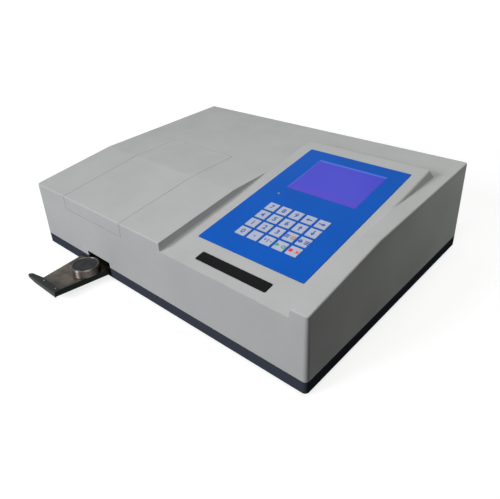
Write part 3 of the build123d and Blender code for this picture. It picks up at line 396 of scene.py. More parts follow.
# Mesh pieces
def piece_from(name, mesh_maker, material, body):
    """Makes an object from a bmesh, gives it a material and lets it ride on a body."""
    mesh = bpy.data.meshes.new(name)
    maker = bmesh.new()
    mesh_maker(maker)
    bmesh.ops.recalc_face_normals(maker, faces=maker.faces[:])
    maker.to_mesh(mesh)
    maker.free()
    mesh.materials.append(material)
    made = bpy.data.objects.new(name, mesh)
    bpy.context.scene.collection.objects.link(made)
    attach(made, body)
    return made


def with_next(row):
    """Each item of a closed row with the one after it."""
    return zip(row, row[1:] + row[:1])


def add_band(maker, low, high):
    """Faces between two closed rows of as many points."""
    for (low_here, low_next), (high_here, high_next) in zip(with_next(low), with_next(high)):
        maker.faces.new((low_here, low_next, high_next, high_here))


def add_plate(maker, outline, thickness, place):
    """A flat plate from an outline in its own X and Y, raised along its own Z."""
    low = [maker.verts.new(place @ Vector((x, y, 0))) for x, y in outline]
    high = [maker.verts.new(place @ Vector((x, y, thickness))) for x, y in outline]
    maker.faces.new(high)
    maker.faces.new(low[::-1])
    add_band(maker, low, high)


def rectangle(x, y, wide, tall):
    """Outline of a rectangle about a middle."""
    return [
        (x - wide / 2, y - tall / 2),
        (x + wide / 2, y - tall / 2),
        (x + wide / 2, y + tall / 2),
        (x - wide / 2, y + tall / 2),
    ]


def regular(x, y, radius, count):
    """Outline of a regular polygon, or of a disc with a high count."""
    angles = [2 * pi * step / count for step in range(count)]
    return [(x + radius * cos(angle), y + radius * sin(angle)) for angle in angles]


def text_outline_mesh(maker, letters, size, thickness, place):
    """Adds raised letters, centred on a place."""
    curve = bpy.data.curves.new("letters", "FONT")
    curve.body = letters
    curve.size = size
    curve.align_x = "CENTER"
    curve.align_y = "CENTER"
    curve.extrude = thickness / 2
    curve.offset = size * LETTER_WEIGHT_SHARE
    holder = bpy.data.objects.new("letters", curve)
    bpy.context.scene.collection.objects.link(holder)
    made = bpy.data.meshes.new_from_object(holder)
    corners = [corner.co for corner in made.vertices]
    low = Vector(min(corner[axis] for corner in corners) for axis in range(3))
    high = Vector(max(corner[axis] for corner in corners) for axis in range(3))
    centre = (low + high) / 2
    shift = Matrix.Translation(Vector((-centre.x, -centre.y, -low.z)))
    made.transform(place @ shift)
    maker.from_mesh(made)
    bpy.data.objects.remove(holder)
    bpy.data.curves.remove(curve)
    bpy.data.meshes.remove(made)


def ring_parts(x, y, radius, bore, count):
    """Outlines of the flat pieces that make up a ring."""
    outer = with_next(regular(x, y, radius, count))
    inner = with_next(regular(x, y, bore, count))
    return [
        (outer_here, outer_next, inner_next, inner_here)
        for (outer_here, outer_next), (inner_here, inner_next) in zip(outer, inner)
    ]


def dome_with_cross(maker, place, radius, tall, cross):
    """A domed screw head with a cross recess, raised along its place's own Z."""
    depth = tall * RECESS_DEPTH_SHARE
    slot = cross * RECESS_WIDTH_SHARE / 2
    before = None
    for ring in range(HEAD_STEPS):
        climb = ring / HEAD_STEPS * pi / 2
        row = []
        for x, y in regular(0, 0, radius * cos(climb), HEAD_FACETS):
            recessed = min(abs(x), abs(y)) < slot and max(abs(x), abs(y)) < cross / 2
            height = tall * sin(climb) - (depth if recessed else 0.0)
            row.append(maker.verts.new(place @ Vector((x, y, height))))
        if before is None:
            maker.faces.new(row[::-1])
        else:
            add_band(maker, before, row)
        before = row
    crown = maker.verts.new(place @ Vector((0, 0, tall - depth)))
    for here, after in with_next(before):
        maker.faces.new((here, after, crown))


def smooth_by_angle(made):
    """Shades a piece smooth, except at its sharp edges."""
    made.data.shade_smooth()
    made.data.set_sharp_from_angle(angle=SHARP_ANGLE)


def dress(node, material):
    """Gives a node of the frame its material."""
    target = nodes[node]
    if not target.material_slots:
        target.data.materials.append(material)
    for slot in target.material_slots:
        slot.material = material


# Settings
def colour_setting(label, note, default):
    return FloatVectorProperty(
        name=label, description=note, subtype="COLOR", size=3, min=0.0, max=1.0, default=default
    )


def length_setting(label, note, default):
    return FloatProperty(
        name=label, description=note, unit="LENGTH", min=0.0, precision=5, default=default
    )


def share_setting(label, note, default):
    return FloatProperty(
        name=label, description=note, subtype="FACTOR", min=0.0, max=1.0, default=default
    )


def power_setting(label, default):
    return FloatProperty(
        name=label, description="Power of the lamp", unit="POWER", min=0.0, default=default
    )


class SpectrometerFinishes(bpy.types.PropertyGroup):
    """Colours and surface finishes."""

    cover: colour_setting("Cover", "Light grey of the cover and lid", (0.382, 0.384, 0.386))
    base: colour_setting("Base", "Dark blue-grey of the base tray", (0.04, 0.046, 0.064))
    overlay: colour_setting("Overlay", "Blue of the membrane sheet", (0.002, 0.078, 0.4))
    display: colour_setting("Display", "Violet-blue of the lit display", (0.038, 0.04, 0.445))
    display_edge: colour_setting("Display edge", "Lighter rear edge", (0.05, 0.12, 0.54))
    display_front: colour_setting("Display front", "Warmer front edge", (0.055, 0.035, 0.43))
    keys: colour_setting("Keys", "Pale grey of the key faces", (0.35, 0.385, 0.48))
    legend: colour_setting("Legends", "Blue of the digits and arrows", (0.015, 0.05, 0.34))
    brown: colour_setting("Brown legend", "Second colour of the menu key", (0.3, 0.17, 0.09))
    green: colour_setting("Green legend", "Sign of the start key", (0.01, 0.22, 0.1))
    red: colour_setting("Red legend", "Sign of the stop key", (0.62, 0.02, 0.02))
    label: colour_setting("Label", "Black of the bare label strip", (0.003, 0.003, 0.004))
    drawer: colour_setting("Drawer", "Steel of the sample drawer", (0.19, 0.167, 0.142))
    flange: colour_setting("Drawer sides", "Dark paint of its sides", (0.004, 0.012, 0.008))
    handle: colour_setting("Handle", "Dark paint of the handle", (0.011, 0.016, 0.015))
    ring: colour_setting("Ring", "Turned steel of the sample ring", (0.11, 0.096, 0.088))
    # The ring rim's lighter steel colour is painted sheen of its upward face.
    ring_rim: colour_setting("Ring rim", "Its worn bright rim", (0.17, 0.157, 0.15))
    grain: length_setting("Grain", "Size of the cover's moulded texture", 0.6 * MM)
    grain_depth: length_setting("Grain depth", "Height of the moulded texture", 0.02 * MM)
    gloss: share_setting("Cover roughness", "Roughness of the cover's satin surface", 0.46)


class SpectrometerSizes(bpy.types.PropertyGroup):
    """Sizes of the small pieces that the scene adds."""

    digit_size: length_setting("Digit size", "Type size of the digits", 9.8 * MM)
    sign_size: length_setting("Sign size", "Height of the arrows and plain signs", 6.6 * MM)
    ink: length_setting("Ink", "Height of the printed signs", 0.08 * MM)
    cross: length_setting("Cross recess", "Length of a screw's cross recess", 2.2 * MM)


class SpectrometerStage(bpy.types.PropertyGroup):
    """Camera, lamps and floor."""

    lens: FloatProperty(name="Lens", description="Focal length", unit="CAMERA", default=35.499)
    shift_x: FloatProperty(name="Shift X", description="Sideways shift", default=-0.01442)
    shift_y: FloatProperty(name="Shift Y", description="Upward shift", default=-0.03643)
    key_power: power_setting("Key lamp", 70.5)
    rear_power: power_setting("Rear lamp", 20.0)
    side_power: power_setting("Side lamp", 0.36)
    top_power: power_setting("Top lamp", 2.9)
    fill_power: power_setting("Fill lamp", 0.8)
    sky: share_setting("Sky", "Strength of the soft light from all round", 0.015)
    floor: share_setting("Floor", "Share of light that the floor gives back", 0.04)


# Operators
class PieceOperator:
    """What the operators of the pieces have in common."""

    bl_options = {"REGISTER", "UNDO"}

    @property
    def finishes(self):
        return bpy.context.scene.spectrometer_finishes

    @property
    def sizes(self):
        return bpy.context.scene.spectrometer_sizes


class SPECTROMETER_OT_shell(PieceOperator, bpy.types.Operator):
    """Finish the cover, the lid, the base tray, the feet and the case screws"""

    bl_idname = "spectrometer.shell"
    bl_label = "Shell"

    def execute(self, context):
        look = self.finishes
        cover = moulded_plastic(
            "cover_satin", look.cover, look.gloss, look.grain, look.grain_depth, 0.045
        )
        base = moulded_plastic(
            "base_texture", look.base, 0.62, look.grain, look.grain_depth * 2, 0.0
        )
        steel = brushed_metal("hinge_zinc", (0.42, 0.42, 0.4), 0.32, (1.0, 0.15, 1.0), 0.2)
        catch = moulded_plastic("catch_black", (0.02, 0.02, 0.02), 0.45, 0.5 * MM, 0.01 * MM)
        for node in ("top_cover", "lid_panel"):
            dress(node, cover)
        dress("base_tray", base)
        dress("rubber_feet", rubber("foot_rubber", (0.018, 0.018, 0.018)))
        for node in ("case_screws", "lid_arms", "hinge_brackets", "hinge_pins"):
            dress(node, steel)
        dress("lid_catch", catch)
        return {"FINISHED"}


class SPECTROMETER_OT_control_panel(PieceOperator, bpy.types.Operator):
    """Finish the membrane sheet, the display, the lamp and the label strip"""

    bl_idname = "spectrometer.control_panel"
    bl_label = "Control panel"

    def execute(self, context):
        look = self.finishes
        dress("keypad_overlay", printed_film("overlay_blue", look.overlay, 0.38, 0.045))
        dress("label_strip", printed_film("label_black", look.label, 0.3, 0.04))
        dress("lcd_window", self.display(look))
        bezel = coated_metal("module_bezel", (0.02, 0.02, 0.02), 0.4, (0.3, 0.3, 0.3))
        domes = brushed_metal("dome_steel", (0.7, 0.7, 0.66), 0.25, NO_STRETCH)
        dress("lcd_module", bezel)
        dress("indicator_led", self.lamp())
        dress("display_board", circuit_board("keypad_board"))
        dress("key_domes", domes)
        return {"FINISHED"}

    def display(self, look):
        """Lit display under its pane: bands of tone from front to rear and faint pixel lines."""
        graph = Graph("display_lit", 0.22, specular=0.12)
        low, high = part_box("lcd_window")
        x, y = graph.split()[:2]
        rear = graph.ramp(y, high[1] - 5.0 * MM, high[1] - 1.5 * MM)
        left = graph.ramp(graph.ramp(x, low[0], high[0]), 0.035, 0.008, 0.0, 0.45)
        front = graph.ramp(graph.ramp(y, low[1], high[1]), 0.22, 0.0)
        tone = graph.mix(front, look.display, look.display_front)
        tone = graph.mix(graph.math("MAXIMUM", rear, left), tone, look.display_edge)
        lines = graph.math("ADD", graph.waves(y, PIXEL_PITCH), graph.waves(x, PIXEL_PITCH))
        pixels = graph.math("MULTIPLY", lines, 0.02)
        tone = graph.mix(graph.math("ADD", pixels, 0.04), tone, (0.01, 0.01, 0.1))
        graph.colour(tone)
        graph.put(tone, graph.shader.inputs["Emission Color"])
        graph.shader.inputs["Emission Strength"].default_value = 0.14
        return graph.material

    def lamp(self):
        """Cloudy blue-green lens of the unlit indicator lamp."""
        graph = Graph("lamp_lens", 0.2, specular=0.3)
        cloud = graph.noise(1.2 * MM, 2.0)
        graph.colour(graph.mix(cloud, (0.09, 0.15, 0.18), (0.12, 0.2, 0.23)))
        graph.relief(cloud, 0.03 * MM)
        return graph.material


class SPECTROMETER_OT_keypad(PieceOperator, bpy.types.Operator):
    """Finish the twenty keys and print plain signs on them"""

    bl_idname = "spectrometer.keypad"
    bl_label = "Keypad"

    def execute(self, context):
        look = self.finishes
        face = printed_film("key_film", look.keys, 0.42)
        inks = {
            name: moulded_plastic("ink_" + name, colour, 0.5, 0.3 * MM, 0.005 * MM)
            for name, colour in (
                ("blue", look.legend),
                ("brown", look.brown),
                ("green", look.green),
                ("red", look.red),
            )
        }
        digits = [str(number) for number in range(10)]
        signs = {
            "left": [("blue", self.arrow(pi))],
            "right": [("blue", self.arrow(0.0))],
            "up": [("blue", self.arrow(pi / 2))],
            "down": [("blue", self.arrow(-pi / 2))],
            "point": [("blue", [regular(0, -0.12, 0.16, 16)])],
            "sign": [("blue", self.plus_minus())],
            "menu": [("blue", self.bars(-0.62)), ("brown", self.frame_mark(0.62))],
            "print": [("blue", self.sheet_mark(-0.62) + self.bars(0.62))],
            "start": [("green", self.triangle(-0.6) + ring_parts(0.62, 0, 0.4, 0.2, 20))],
            "stop": [("red", self.square(-0.62) + self.cross_mark(0.62))],
        }
        for name in digits + list(signs):
            dress("key_" + name, face)
        for digit in digits:
            self.print_digit(digit, inks["blue"])
        for name, parts in signs.items():
            for ink, outlines in parts:
                self.print_sign(name, ink, outlines, inks[ink])
        return {"FINISHED"}

    def key_place(self, key):
        """Middle of a key's face, with axes across, up the slope and out of the panel."""
        return Matrix.Translation(top_middle("key_" + key, PANEL_UP)) @ PANEL_TURN.to_4x4()

    def print_digit(self, digit, ink):
        place = self.key_place(digit)

        def make(maker):
            text_outline_mesh(maker, digit, self.sizes.digit_size, self.sizes.ink, place)

        piece_from("print_" + digit, make, ink, "key_" + digit)

    def print_sign(self, key, ink_name, outlines, ink):
        place = self.key_place(key)
        size = self.sizes.sign_size

        def make(maker):
            for outline in outlines:
                scaled = [(x * size, y * size) for x, y in outline]
                add_plate(maker, scaled, self.sizes.ink, place)

        piece_from("print_" + key + "_" + ink_name, make, ink, "key_" + key)

    def arrow(self, turn):
        """Arrow about the origin, one unit long, turned from pointing right."""
        outline = [
            (-0.66, -0.12),
            (0.04, -0.12),
            (0.04, -0.4),
            (0.66, 0.0),
            (0.04, 0.4),
            (0.04, 0.12),
            (-0.66, 0.12),
        ]
        turned = [
            (x * cos(turn) - y * sin(turn), x * sin(turn) + y * cos(turn)) for x, y in outline
        ]
        return [turned]

    def plus_minus(self):
        """A plus, a slash and a minus beside each other."""
        plus_bar = rectangle(-0.55, 0.12, 0.5, 0.13)
        plus_low = rectangle(-0.55, -0.06, 0.13, 0.23)
        plus_high = rectangle(-0.55, 0.30, 0.13, 0.23)
        slash = [(-0.02, -0.45), (0.14, -0.45), (0.06, 0.45), (-0.1, 0.45)]
        minus = rectangle(0.6, 0.1, 0.5, 0.13)
        return [slash, plus_bar, plus_low, plus_high, minus]

    def bars(self, x):
        return [rectangle(x, up, 0.86, 0.2) for up in (-0.33, 0.0, 0.33)]

    def frame_mark(self, x):
        sides = [rectangle(x - 0.34, 0, 0.18, 0.5), rectangle(x + 0.34, 0, 0.18, 0.5)]
        ends = [rectangle(x, 0.34, 0.86, 0.18), rectangle(x, -0.34, 0.86, 0.18)]
        return sides + ends + [regular(x, 0, 0.15, 12)]

    def sheet_mark(self, x):
        return [
            rectangle(x, -0.1, 0.84, 0.34),
            rectangle(x, 0.26, 0.5, 0.26),
            rectangle(x, -0.38, 0.5, 0.14),
        ]

    def triangle(self, x):
        return [[(x - 0.38, -0.43), (x + 0.44, 0.0), (x - 0.38, 0.43)]]

    def square(self, x):
        return [rectangle(x, 0, 0.72, 0.72)]

    def cross_mark(self, x):
        return [
            [(x - 0.4, -0.28), (x - 0.28, -0.4), (x + 0.4, 0.28), (x + 0.28, 0.4)],
            [(x - 0.4, 0.28), (x - 0.06, -0.06), (x + 0.06, 0.06), (x - 0.28, 0.4)],
            [(x + 0.06, -0.06), (x + 0.28, -0.4), (x + 0.4, -0.28), (x + 0.14, -0.02)],
        ]


class SPECTROMETER_OT_drawer(PieceOperator, bpy.types.Operator):
    """Finish the sample drawer, its handle and the ring with its pellet"""

    bl_idname = "spectrometer.drawer"
    bl_label = "Sample drawer"

    def execute(self, context):
        look = self.finishes
        worn = (0.1, 0.1, 0.1)
        paint = coated_metal("handle_paint", look.handle, 0.42, worn, specular=0.12)
        middle = box_middle("sample_ring")
        rim_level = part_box("sample_ring")[1][2] - 0.25 * MM
        ring = turned_metal("ring_turned", look.ring, 0.4, middle, rim_level, look.ring_rim)
        nylon = moulded_plastic("rail_nylon", (0.03, 0.03, 0.03), 0.5, 1 * MM, 0.01 * MM)
        dress("drawer_tray", self.tray(look))
        dress("drawer_handle", paint)
        dress("sample_ring", ring)
        dress("pellet", self.powder())
        dress("drawer_rails", nylon)
        self.screw_heads()
        return {"FINISHED"}

    def tray(self, look):
        """Stained steel top with painted shade that darkens it towards the handle end, and dark
        painted sides.
        """
        graph = Graph("drawer_steel", 0.36, metallic=1.0, specular=0.1)
        lines = graph.noise(0.6 * MM, 3.0, graph.stretched((1.0, 0.12, 1.0)))
        cloud = graph.noise(16 * MM, 4.0)
        steel = graph.mottled(lines, 0.3, 0.7, shades(look.drawer, 0.85, 1.15))
        stained = graph.mottled(cloud, 0.42, 0.7, (steel, shade(look.drawer, 0.45)))
        low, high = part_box("drawer_tray")
        x, y = graph.split()[:2]
        # Painted shade: the steel top grows darker towards the handle end, over its first 34 mm.
        painted_shade_towards_handle = graph.ramp(y, low[1] + 4 * MM, low[1] + 34 * MM)
        stained = graph.mix(painted_shade_towards_handle, shade(look.drawer, 0.2), stained)
        painted_edge = 1.3 * MM
        inner = graph.within(x, (low[0] + high[0]) / 2, (high[0] - low[0]) / 2 - painted_edge)
        up = graph.math("GREATER_THAN", graph.split(graph.facing)[2], 0.7)
        bare = graph.math("MULTIPLY", up, inner)
        graph.colour(graph.mix(bare, look.flange, stained))
        graph.put(bare, graph.shader.inputs["Metallic"])
        graph.rough(graph.ramp(cloud, 0.3, 0.7, 0.3, 0.44))
        graph.relief(lines, 0.02 * MM)
        return graph.material

    def powder(self):
        """Pressed powder: fine dark grains with a few pale ones."""
        graph = Graph("pellet_powder", 0.75, specular=0.1)
        grains = graph.noise(0.5 * MM, 4.0, roughness=0.7)
        cloud = graph.noise(6 * MM, 3.0)
        tone = graph.mottled(cloud, 0.3, 0.7, ((0.022, 0.022, 0.025), (0.042, 0.042, 0.046)))
        graph.colour(graph.mottled(grains, 0.6, 0.75, (tone, (0.11, 0.11, 0.12))))
        graph.relief(grains, 0.12 * MM)
        return graph.material

    def screw_heads(self):
        """Domed heads with a cross recess, in place of the plain ones."""
        steel = brushed_metal("screw_worn", (0.1, 0.095, 0.09), 0.34, NO_STRETCH)
        low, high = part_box("handle_screws")
        radius = (high[1] - low[1]) / 2
        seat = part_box("drawer_handle")[1][2]
        middle_y = (low[1] + high[1]) / 2
        shank_share = 0.62

        def make(maker):
            for x in (low[0] + radius, high[0] - radius):
                head = Matrix.Translation(Vector((x, middle_y, seat)))
                dome_with_cross(maker, head, radius, high[2] - seat, self.sizes.cross)
                shank = regular(x, middle_y, radius * shank_share, 20)
                base = Matrix.Translation(Vector((0, 0, low[2])))
                add_plate(maker, shank, seat - low[2], base)

        made = piece_from("handle_screw_heads", make, steel, "drawer")
        smooth_by_angle(made)
        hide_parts("handle_screws")


class SPECTROMETER_OT_head(PieceOperator, bpy.types.Operator):
    """Finish the measuring head under the lid"""

    bl_idname = "spectrometer.head"
    bl_label = "Measuring head"

    def execute(self, context):
        plate = coated_metal("bridge_zinc", (0.42, 0.41, 0.38), 0.42, (0.25, 0.24, 0.22), 0.4)
        milled = brushed_metal("head_milled", (0.5, 0.5, 0.51), 0.3, (0.2, 1.0, 1.0))
        drawn = brushed_metal("tube_drawn", (0.46, 0.45, 0.44), 0.22, (1.0, 0.1, 1.0))
        holder = coated_metal("holder_yellow", (0.62, 0.42, 0.02), 0.4, (0.3, 0.28, 0.25), 0.5)
        cast = brushed_metal("amplifier_cast", (0.4, 0.41, 0.42), 0.45, NO_STRETCH)
        dress("head_frame", plate)
        dress("measuring_head", milled)
        dress("detector_tube", drawn)
        dress("source_holder", holder)
        dress("preamp_box", cast)
        return {"FINISHED"}


class SPECTROMETER_OT_electronics(PieceOperator, bpy.types.Operator):
    """Finish the boards, the transformer and the high-voltage module"""

    bl_idname = "spectrometer.electronics"
    bl_label = "Electronics"

    def execute(self, context):
        board_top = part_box("main_board")[0][2] + BOARD_SHEET + 0.05 * MM
        tin = coated_metal("module_tin", (0.45, 0.45, 0.43), 0.36, (0.2, 0.2, 0.2))
        for board in ("main_board", "power_board"):
            dress(board, circuit_board(board + "_green", board_top))
        dress("hv_module", tin)
        dress("transformer", self.iron())
        return {"FINISHED"}

    def iron(self):
        """Laminated core with fine lines, and yellow tape on the winding."""
        graph = Graph("core_lamination", 0.5)
        y = graph.split()[1]
        lines = graph.waves(y, SHEET_PITCH)
        dark = graph.mottled(lines, -1, 1, ((0.03, 0.028, 0.026), (0.08, 0.075, 0.07)))
        core = graph.within(y, box_middle("transformer").y, CORE_LONG / 2 + 0.1 * MM)
        tape = graph.mix(graph.noise(3 * MM, 3.0), (0.5, 0.36, 0.05), (0.62, 0.46, 0.08))
        graph.colour(graph.mix(core, tape, dark))
        graph.relief(lines, 0.04 * MM)
        return graph.material


class SPECTROMETER_OT_board_parts(PieceOperator, bpy.types.Operator):
    """Add the leads of the main board's chips and the small parts beside them"""

    bl_idname = "spectrometer.board_parts"
    bl_label = "Board parts"

    def execute(self, context):
        self.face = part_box("main_board")[0][2] + BOARD_SHEET
        self.chips = flat_tops("main_board", self.face + CHIP_TALL)
        if not self.chips:
            raise RuntimeError("the main board has no chips")
        self.leads()
        self.cans()
        self.ceramics()
        return {"FINISHED"}

    def leads(self):
        """Rows of flat leads along the four sides of each chip."""
        tin = brushed_metal("lead_tin", (0.5, 0.5, 0.48), 0.32, NO_STRETCH)
        place = Matrix.Translation(Vector((0, 0, self.face)))
        pitch = 1.27 * MM
        reach = 1.1 * MM
        wide = 0.5 * MM
        tall = 0.45 * MM

        def make(maker):
            for left, front, right, rear in self.chips:
                count = int((right - left - pitch) / pitch)
                first = -(count - 1) / 2 * pitch
                for number in range(count):
                    x = (left + right) / 2 + first + number * pitch
                    y = (front + rear) / 2 + first + number * pitch
                    for edge in (front - reach / 2, rear + reach / 2):
                        add_plate(maker, rectangle(x, edge, wide, reach), tall, place)
                    for edge in (left - reach / 2, right + reach / 2):
                        add_plate(maker, rectangle(edge, y, reach, wide), tall, place)

        piece_from("chip_leads", make, tin, HOUSING)

    def cans(self):
        """A sleeved can capacitor with a bare top beside each chip."""
        radius = 2.9 * MM
        tall = 7.5 * MM
        sleeve = 0.4 * MM
        cap_share = 0.86
        aside = 6.5 * MM
        inward = 4.0 * MM
        graph = Graph("can_sleeve", 0.4, specular=0.3)
        bare = graph.math("GREATER_THAN", graph.split()[2], self.face + tall - sleeve)
        brushed = graph.noise(0.8 * MM, 3.0)
        top = graph.mix(brushed, (0.4, 0.4, 0.41), (0.55, 0.55, 0.56))
        graph.colour(graph.mix(bare, (0.012, 0.014, 0.03), top))
        graph.put(bare, graph.shader.inputs["Metallic"])
        graph.relief(brushed, 0.02 * MM)
        body = Matrix.Translation(Vector((0, 0, self.face)))
        cap = Matrix.Translation(Vector((0, 0, self.face + tall - sleeve)))

        def make(maker):
            for *_, right, rear in self.chips:
                middle = (right + aside, rear - inward)
                add_plate(maker, regular(*middle, radius, 24), tall - sleeve, body)
                add_plate(maker, regular(*middle, radius * cap_share, 24), sleeve, cap)

        made = piece_from("can_capacitors", make, graph.material, HOUSING)
        smooth_by_angle(made)

    def ceramics(self):
        """A row of small ceramic parts in front of each chip."""
        tan = coated_metal("ceramic_tan", (0.3, 0.2, 0.11), 0.5, (0.5, 0.5, 0.48), 0.6)
        place = Matrix.Translation(Vector((0, 0, self.face)))
        long, wide, tall = 2.2 * MM, 1.3 * MM, 0.8 * MM
        first = 2.0 * MM
        pitch = 4.0 * MM
        ahead = 4.4 * MM

        def make(maker):
            for left, front, *_ in self.chips:
                for number in range(5):
                    x = left + first + number * pitch
                    add_plate(maker, rectangle(x, front - ahead, long, wide), tall, place)

        piece_from("ceramic_parts", make, tan, HOUSING)


class SPECTROMETER_OT_rear(PieceOperator, bpy.types.Operator):
    """Finish the rear panel and its connectors, and add their small pieces"""

    bl_idname = "spectrometer.rear"
    bl_label = "Rear panel"

    def execute(self, context):
        panel = coated_metal("rear_powder_coat", (0.03, 0.033, 0.04), 0.55, (0.1, 0.1, 0.1))
        black = moulded_plastic("inlet_black", (0.014, 0.014, 0.015), 0.4, 0.4 * MM, 0.01 * MM)
        rocker = moulded_plastic("rocker_black", (0.012, 0.012, 0.013), 0.28, 0.4 * MM, 0.005 * MM)
        nickel = brushed_metal("pin_nickel", (0.72, 0.7, 0.64), 0.25, (1.0, 0.2, 1.0))
        dress("rear_panel", panel)
        for node in ("inlet_body", "fuse_drawer", "rocker_bezel"):
            dress(node, black)
        dress("power_rocker", rocker)
        dress("inlet_pins", nickel)
        dress("jack_posts", nickel)
        dress("serial_connector", self.connector())
        self.panel_screws()
        self.rocker_signs()
        return {"FINISHED"}

    def connector(self):
        """Plated shell with a black insulator in its end."""
        graph = Graph("connector_shell", 0.3, metallic=1.0)
        x, y, z = graph.split()
        middle = box_middle("serial_connector")
        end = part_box("serial_connector")[1][1]
        half_wide = 7.2 * MM
        half_tall = 3.3 * MM
        at_end = graph.math("GREATER_THAN", y, end - 0.3 * MM)
        wide = graph.within(x, middle.x, half_wide)
        tall = graph.within(z, middle.z, half_tall)
        face = graph.math("MULTIPLY", at_end, graph.math("MULTIPLY", wide, tall))
        lines = graph.noise(0.8 * MM, 3.0, graph.stretched((1.0, 0.2, 1.0)))
        plate = graph.mix(lines, (0.5, 0.49, 0.45), (0.68, 0.66, 0.6))
        graph.colour(graph.mix(face, plate, (0.012, 0.012, 0.013)))
        graph.put(graph.math("SUBTRACT", 1.0, face), graph.shader.inputs["Metallic"])
        graph.relief(lines, 0.02 * MM)
        return graph.material

    def panel_screws(self):
        """Four screws in the corners of the rear panel."""
        steel = brushed_metal("panel_screw_black", (0.12, 0.12, 0.12), 0.35, NO_STRETCH)
        low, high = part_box("rear_panel")
        radius = 2.9 * MM
        tall = 1.3 * MM
        inset = 12.5 * MM
        low_row = 27.75 * MM
        turn = Matrix.Rotation(-pi / 2, 4, "X")

        def make(maker):
            for x in (low[0] + inset, high[0] - inset):
                for z in (low[2] + low_row, high[2] - inset):
                    place = Matrix.Translation(Vector((x, high[1], z))) @ turn
                    dome_with_cross(maker, place, radius, tall, self.sizes.cross)

        made = piece_from("panel_screws", make, steel, HOUSING)
        smooth_by_angle(made)

    def rocker_signs(self):
        """Plain stroke and ring on the two halves of the rocker."""
        paint = moulded_plastic("sign_white", (0.7, 0.7, 0.7), 0.5, 0.4 * MM, 0.005 * MM)
        upper = self.rocker_face(1)
        lower = self.rocker_face(-1)
        radius = 2.3 * MM
        bore = 1.7 * MM
        stroke = 0.7 * MM

        def make(maker):
            add_plate(maker, rectangle(0, 0, stroke, 2 * radius), self.sizes.ink, upper)
            for part in ring_parts(0, 0, radius, bore, 24):
                add_plate(maker, part, self.sizes.ink, lower)

        piece_from("rocker_signs", make, paint, "rocker")

    def rocker_face(self, half):
        """Place on the upper or lower half of the rocker's face, with Z out of it."""
        low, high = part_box("power_rocker")
        middle = box_middle("power_rocker")
        height = middle.z + half * (high[2] - low[2]) / 4
        outside = Vector((middle.x, high[1] + 1 * MM, height))
        view = bpy.context.evaluated_depsgraph_get()
        rocker = nodes["power_rocker"]
        hit, centre, normal = rocker.ray_cast(outside, Vector((0, -1, 0)), depsgraph=view)[:3]
        if not hit:
            raise RuntimeError("the rocker has no face behind its sign")
        across = Vector((-1, 0, 0))
        turn = Matrix((across, normal.cross(across), normal)).transposed()
        return Matrix.Translation(centre) @ turn.to_4x4()


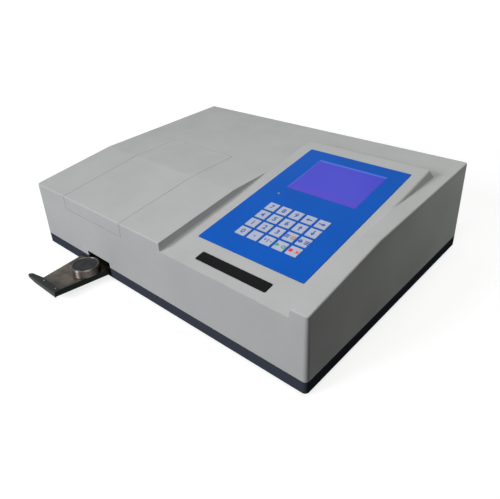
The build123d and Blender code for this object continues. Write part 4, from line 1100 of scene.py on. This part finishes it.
class SPECTROMETER_OT_stage(PieceOperator, bpy.types.Operator):
    """Set up the floor, the lamps, the sky and the camera"""

    bl_idname = "spectrometer.stage"
    bl_label = "Stage"

    def execute(self, context):
        stage = context.scene.spectrometer_stage
        self.camera(context.scene, stage)
        self.floor(context.scene, stage)
        self.sky(context.scene, stage)
        for name, (size, place, colour) in LAMPS.items():
            power = getattr(stage, name + "_power")
            self.lamp(context.scene, name + "_lamp", power, size, Vector(place), colour)
        context.scene.view_settings.view_transform = "Standard"
        return {"FINISHED"}

    def camera(self, scene, stage):
        data = bpy.data.cameras.new("camera")
        data.sensor_fit = "HORIZONTAL"
        data.sensor_width = 36.0
        data.lens = stage.lens
        data.shift_x = stage.shift_x
        data.shift_y = stage.shift_y
        data.clip_start = 0.01
        data.clip_end = 50.0
        made = bpy.data.objects.new("camera", data)
        made.location = CAMERA_PLACE
        made.rotation_euler = [radians(turn) for turn in CAMERA_TURN]
        scene.collection.objects.link(made)
        scene.camera = made

    def lamp(self, scene, name, power, size, place, colour):
        data = bpy.data.lights.new(name, "AREA")
        data.energy = power
        data.shape = "SQUARE"
        data.size = size
        data.color = colour
        made = bpy.data.objects.new(name, data)
        made.location = place
        made.rotation_euler = (LAMP_TARGET - place).to_track_quat("-Z", "Y").to_euler()
        scene.collection.objects.link(made)

    def floor(self, scene, stage):
        """Pale floor, white to the camera, that keeps the object's soft shadow."""
        graph = Graph("floor_pale", 0.9, specular=0.1)
        seen = graph.seen()
        graph.colour(graph.mix(seen, [stage.floor] * 3, (0.26, 0.26, 0.26)))
        away = graph.add("ShaderNodeVectorMath")
        away.operation = "LENGTH"
        graph.put(graph.place, away.inputs[0])
        level = graph.ramp(away.outputs["Value"], FLOOR_NEAR, FLOOR_FAR, 0.8, 1.0)
        graph.put((1.0, 1.0, 1.0), graph.shader.inputs["Emission Color"])
        graph.put(graph.math("MULTIPLY", seen, level), graph.shader.inputs["Emission Strength"])
        mesh = bpy.data.meshes.new("floor")
        maker = bmesh.new()
        bmesh.ops.create_circle(maker, cap_ends=True, segments=96, radius=FLOOR_RADIUS)
        maker.to_mesh(mesh)
        maker.free()
        mesh.materials.append(graph.material)
        made = bpy.data.objects.new("floor", mesh)
        scene.collection.objects.link(made)

    def sky(self, scene, stage):
        """White to the camera, and a faint even light for soft bounces."""
        scene.world = bpy.data.worlds.new("sky")
        scene.world.use_nodes = True
        tree = Tree(scene.world.node_tree)
        background = tree.tree.nodes["Background"]
        tree.put((1.0, 1.0, 1.0), background.inputs["Color"])
        level = tree.ramp(tree.seen(), 0.0, 1.0, stage.sky, 1.0)
        tree.put(level, background.inputs["Strength"])


OPERATORS = (
    SPECTROMETER_OT_stage,
    SPECTROMETER_OT_shell,
    SPECTROMETER_OT_control_panel,
    SPECTROMETER_OT_keypad,
    SPECTROMETER_OT_drawer,
    SPECTROMETER_OT_head,
    SPECTROMETER_OT_electronics,
    SPECTROMETER_OT_board_parts,
    SPECTROMETER_OT_rear,
)


class SPECTROMETER_PT_sidebar(bpy.types.Panel):
    """Lists the pieces and the settings"""

    bl_idname = "SPECTROMETER_PT_sidebar"
    bl_label = "Spectrometer"
    bl_space_type = "VIEW_3D"
    bl_region_type = "UI"
    bl_category = "Spectrometer"

    def draw(self, context):
        layout = self.layout
        for operator in OPERATORS:
            layout.operator(operator.bl_idname)
        for group in ("spectrometer_finishes", "spectrometer_sizes", "spectrometer_stage"):
            settings = getattr(context.scene, group)
            box = layout.box()
            for name in settings.__annotations__:
                box.prop(settings, name)


SETTINGS = (
    ("spectrometer_finishes", SpectrometerFinishes),
    ("spectrometer_sizes", SpectrometerSizes),
    ("spectrometer_stage", SpectrometerStage),
)


def register():
    for name, group in SETTINGS:
        bpy.utils.register_class(group)
        setattr(bpy.types.Scene, name, PointerProperty(type=group))
    for operator in OPERATORS:
        bpy.utils.register_class(operator)
    bpy.utils.register_class(SPECTROMETER_PT_sidebar)


def unregister():
    bpy.utils.unregister_class(SPECTROMETER_PT_sidebar)
    for operator in reversed(OPERATORS):
        bpy.utils.unregister_class(operator)
    for name, group in reversed(SETTINGS):
        delattr(bpy.types.Scene, name)
        bpy.utils.unregister_class(group)


def main():
    """Builds the scene."""
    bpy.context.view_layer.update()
    register()
    bpy.ops.spectrometer.stage()
    bpy.ops.spectrometer.shell()
    bpy.ops.spectrometer.control_panel()
    bpy.ops.spectrometer.keypad()
    bpy.ops.spectrometer.drawer()
    bpy.ops.spectrometer.head()
    bpy.ops.spectrometer.electronics()
    bpy.ops.spectrometer.board_parts()
    bpy.ops.spectrometer.rear()


if __name__ == "__main__":
    main()
